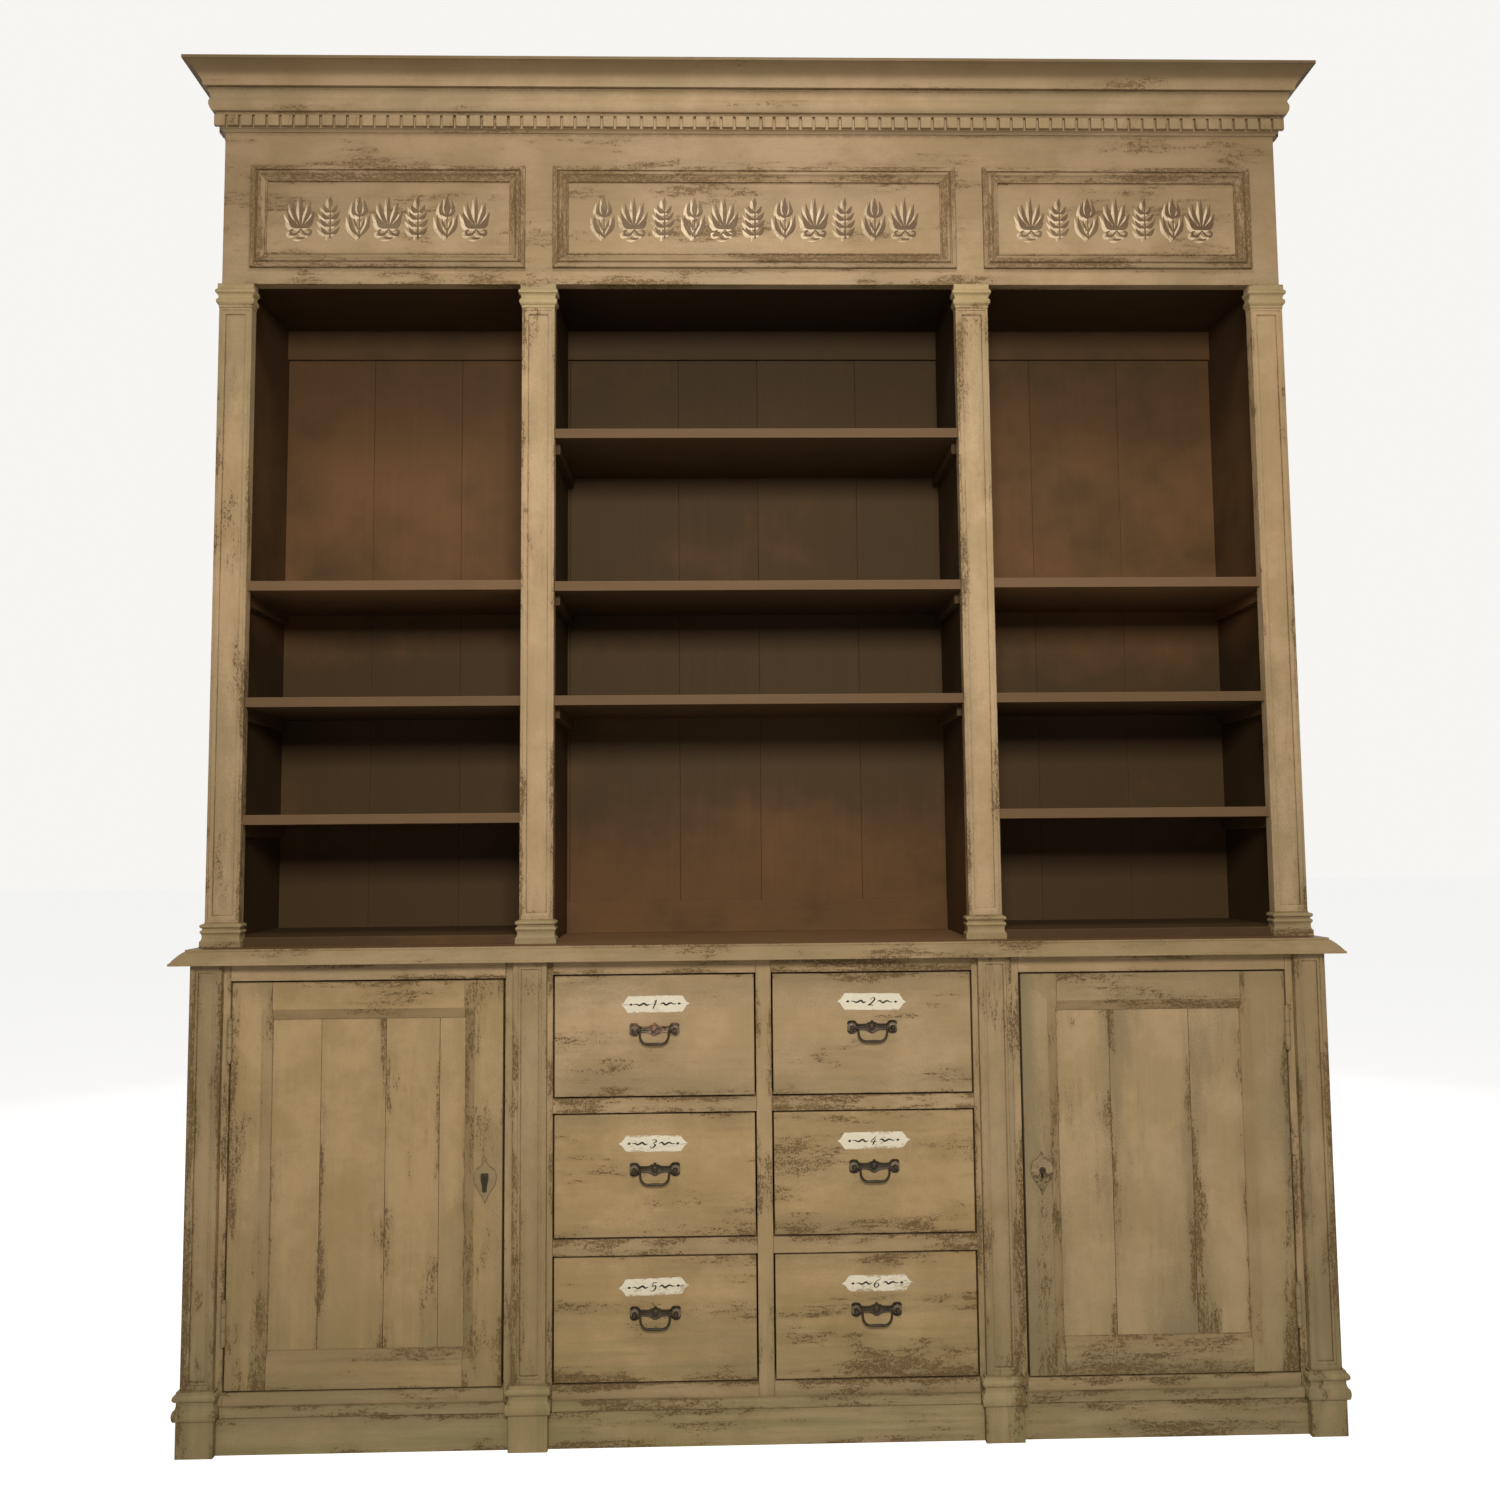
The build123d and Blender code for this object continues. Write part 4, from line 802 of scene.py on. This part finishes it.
# the plate's edge: inset and distance from the drawer front, in millimetres
PLATE_EDGE = ((0, 0), (0, 1.2), (0.7, 2.0), (1.7, 2.0), (2.2, 1.6))
# radius and distance from the drawer front of the plate's lobe, a rosette and the post on it, in millimetres
LOBE = ((6.4, 1.4), (6.0, 2.3), (4.6, 3.2), (2.4, 3.7), (0.4, 3.8))
ROSETTE = ((8.4, 1.4), (8.4, 2.6), (7.6, 3.4), (6.6, 2.9), (5.6, 3.1), (4.2, 3.9), (0.5, 4.0))
POST = ((4.4, 3.0), (3.7, 4.4), (3.4, 6.5), (3.6, 8.0), (4.4, 9.6), (4.8, 12.0), (4.4, 15.0), (3.3, 17.3),
        (1.8, 18.6), (0.4, 19.0))


def pull(number, rng):
    """Bat-wing plate with a raised rim, a middle lobe, and two petalled rosettes under the bail's posts."""
    node = f"drawer_pull_{number}"
    cx, _, cz = middle(node)
    back_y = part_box(node)[1][1]
    bail_low, bail_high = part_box(f"drawer_bail_{number}")
    half_span = (bail_high[0] - bail_low[0]) / 2 + 0.6 * MM
    right = smooth_path(PLATE, 4)
    outline = [(cx + x * MM, cz + z * MM) for x, z in right]
    outline += [(cx - x * MM, cz + z * MM) for x, z in reversed(right[1:])]
    bm = bmesh.new()
    stack(bm, outline, proud(back_y, PLATE_EDGE))
    turned(bm, cx, cz, proud(back_y, LOBE), petals=6, depth=0.08)
    for side in (-1, 1):
        stroke(bm, [(cx + side * x * MM, cz) for x in (9, 18, 28)],
               [0.8 * MM, 1.9 * MM, 0.8 * MM], back_y - 1.5 * MM, 1.3 * MM)
        x = cx + side * half_span
        # the rosettes take the lighter iron, which is partly a painted highlight
        turned(bm, x, cz, proud(back_y, ROSETTE), segments=32, petals=8, depth=0.07, material=1)
        turned(bm, x, cz, proud(back_y, POST), segments=32)
    materials = [PULL_IRON[number], ROSETTE_IRON_WITH_HIGHLIGHT]
    piece = add_piece(f"pull_{number}", bm, materials, f"drawer_{number}", rng, 40)
    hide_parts(node)


BAIL_SIDES = 14         # facets round a bail's wire


def bail(number, rng):
    """Drop handle, swollen at the middle of its grip, with a collar before each pintle."""
    node = f"drawer_bail_{number}"
    low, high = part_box(node)
    cx, y0 = (low[0] + high[0]) / 2, (low[1] + high[1]) / 2
    wire = (high[1] - low[1]) / 2
    cz, half = high[2] - wire, (high[0] - low[0]) / 2
    drop = (cz - wire - low[2]) / MM
    # millimetres in from the pintle's end, height below its axis, and radius there
    arm = ((0, 0, 2.0), (5.8, 0, 2.0), (6.0, 0, 3.0), (7.6, 0, 3.0), (8.2, 0.3, 2.3), (10.2, 2.2, 2.3),
           (10.7, 8, 2.1), (12.0, drop * 0.62, 2.2), (17.0, drop * 0.90, 2.3), (24.0, drop, 2.4),
           (31.0, drop, 2.7))
    right = [(half - inwards * MM, -down * MM, r * MM) for inwards, down, r in arm]
    path = right + [(0, -drop * MM, 2.8 * MM)] + [(-x, z, r) for x, z, r in reversed(right)]
    path = smooth_path(path, 4)
    bm = bmesh.new()
    rows = []
    for i, (x, z, r) in enumerate(path):
        tangent = heading(path, i)
        ring = []
        for k in range(BAIL_SIDES):
            a = 2 * math.pi * k / BAIL_SIDES
            off = math.cos(a) * r
            ring.append((cx + x - tangent.y * off, y0 + math.sin(a) * r, cz + z + tangent.x * off))
        rows.append(ring)
    skin(bm, rows)
    piece = add_piece(f"bail_{number}", bm, [MATERIALS["dark_iron"]], f"bail_{number}", rng, 50)
    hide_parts(node)


# lighter iron for the rosettes: worn paint left on them, and a painted highlight
ROSETTE_IRON_WITH_HIGHLIGHT = iron("rosette iron", (0.150, 0.122, 0.082), (0.520, 0.450, 0.340), (0.150, 0.090, 0.048),
                    0.2, 0.4)
# the first drawer's pull is rubbed down to a reddish metal
PULL_IRON = {n: MATERIALS["dark_iron"] for n in DRAWERS}
PULL_IRON[1] = iron("red rubbed iron", IRON_SKIN, IRON_RUBBED, (0.330, 0.185, 0.115), 0.2, 0.75,
                    rust_from=0.43)
for number in DRAWERS:
    piece_rng = random.Random(500 + number)
    drawer_label(number, piece_rng)
    pull(number, piece_rng)
    bail(number, piece_rng)


def keyhole_bush(door, outline, rng):
    """A dark iron bush with a raised rim in a door's escutcheon; outline in millimetres."""
    node = f"{door}_lock"
    cx, _, cz = middle(node)
    face_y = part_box(node)[0][1]
    bm = bmesh.new()
    stack(bm, [(cx + x * MM, cz + z * MM) for x, z in outline],
          proud(face_y, ((0, -0.3), (0, 0.6), (0.5, 1.0), (1.3, 0.9), (1.8, 0.1))))
    add_piece(f"{door}_keyhole", bm, [MATERIALS["dark_iron"]], door, rng)


half_tapered = [(6.6, 15), (7.4, 9), (6.8, 1), (4.6, -8), (4.0, -19)]
tapered_bush = [(-x, z) for x, z in half_tapered] + half_tapered[::-1]
round_bush = [(6.2 * math.cos(a / 12 * math.pi), 5 + 6.2 * math.sin(a / 12 * math.pi)) for a in range(24)]
keyhole_bush("left_door", tapered_bush, random.Random(61))
keyhole_bush("right_door", round_bush, random.Random(62))

# ------------------------------------------------------------------ floor, light and camera

LAMP_WHITE, BACK_WHITE = (1.0, 0.93, 0.84), (1.0, 0.95, 0.88)     # of the lights in front and behind
FLOOR_REACH = 30        # metres from the floor's middle to its sides
FLOOR_GLOW = 0.74       # brightness added to the floor where the camera sees it directly
SKY_LIGHT = 0.20        # light of the surroundings
SKY_GLOW = 0.93         # their brightness where the camera sees them directly


def area_light(name, place, target, size, power, colour):
    """A soft light of (width, height) in metres and a power in watts, hidden from the camera."""
    data = bpy.data.lights.new(name, "AREA")
    data.shape = "RECTANGLE"
    data.size, data.size_y = size
    data.energy = power
    data.color = colour
    lamp = bpy.data.objects.new(name, data)
    lamp.location = place
    lamp.rotation_euler = (Vector(target) - Vector(place)).to_track_quat("-Z", "Y").to_euler()
    lamp.visible_camera = False
    bpy.context.scene.collection.objects.link(lamp)


def pale_floor():
    """A pale studio floor that looks brighter to the camera than the light it gives."""
    bm = bmesh.new()
    bmesh.ops.create_grid(bm, x_segments=1, y_segments=1, size=FLOOR_REACH)
    mesh = bpy.data.meshes.new("floor")
    bm.to_mesh(mesh)
    bm.free()
    sh = Shader("floor")
    place = sh.add("TexCoord").outputs["Object"]
    cloud = sh.noise(place, scale=3, detail=3)
    colour = sh.mix(cloud, (0.80, 0.79, 0.77), (0.84, 0.83, 0.81))
    lit = sh.add("BsdfDiffuse", None, Color=colour, Normal=sh.bump(cloud, 0.0005, 0.2))
    seen = sh.add("LightPath").outputs["Is Camera Ray"]
    own = sh.add("Emission", None, Strength=sh.maths("MULTIPLY", seen, FLOOR_GLOW))
    both = sh.add("AddShader")
    sh.tree.links.new(lit.outputs[0], both.inputs[0])
    sh.tree.links.new(own.outputs[0], both.inputs[1])
    sh.tree.links.new(both.outputs[0], sh.add("OutputMaterial").inputs["Surface"])
    mesh.materials.append(sh.mat)
    floor = bpy.data.objects.new("floor", mesh)
    bpy.context.scene.collection.objects.link(floor)


def world_light(strength, seen):
    """Even white surroundings, brighter where the camera sees them directly."""
    world = bpy.data.worlds.new("studio")
    world.use_nodes = True
    tree = world.node_tree
    tree.nodes.clear()
    path = tree.nodes.new("ShaderNodeLightPath")
    share = tree.nodes.new("ShaderNodeMapRange")
    share.inputs["To Min"].default_value = strength
    share.inputs["To Max"].default_value = seen
    sky = tree.nodes.new("ShaderNodeBackground")
    sky.inputs["Color"].default_value = (1.0, 0.985, 0.96, 1)
    out = tree.nodes.new("ShaderNodeOutputWorld")
    tree.links.new(path.outputs["Is Camera Ray"], share.inputs["Value"])
    tree.links.new(share.outputs[0], sky.inputs["Strength"])
    tree.links.new(sky.outputs[0], out.inputs["Surface"])
    bpy.context.scene.world = world


def photographers_camera():
    """The camera fitted to the photograph: its place, angles in degrees and focal length in millimetres."""
    yaw, pitch, roll = (math.radians(a) for a in (1.2964, 4.2775, -0.5176))
    forward = Vector((math.sin(yaw) * math.cos(pitch), math.cos(yaw) * math.cos(pitch), math.sin(pitch)))
    right = Vector((math.cos(yaw), -math.sin(yaw), 0.0))
    up = right.cross(forward)
    axes = Matrix((math.cos(roll) * right + math.sin(roll) * up,
                   math.cos(roll) * up - math.sin(roll) * right, -forward)).transposed()
    data = bpy.data.cameras.new("camera")
    data.sensor_width = 36.0
    data.lens = 29.52
    camera = bpy.data.objects.new("camera", data)
    camera.matrix_world = Matrix.Translation((-0.073, -2.472, 1.090)) @ axes.to_4x4()
    bpy.context.scene.collection.objects.link(camera)
    bpy.context.scene.camera = camera


pale_floor()
world_light(SKY_LIGHT, SKY_GLOW)
area_light("key", (0.0, -3.0, 2.18), (0, 0, 1.5), (0.9, 0.6), 65, LAMP_WHITE)
area_light("overhead", (0.0, -1.35, 3.37), (0, 0, 1.4), (0.5, 0.4), 16, LAMP_WHITE)
for side in (-1, 1):
    area_light(f"behind_{side + 1}", (side * 2.3, 2.9, 2.4), (0, 0.3, 1.3), (1.0, 1.0), 30, BACK_WHITE)
photographers_camera()
bpy.context.scene.view_settings.view_transform = "Standard"
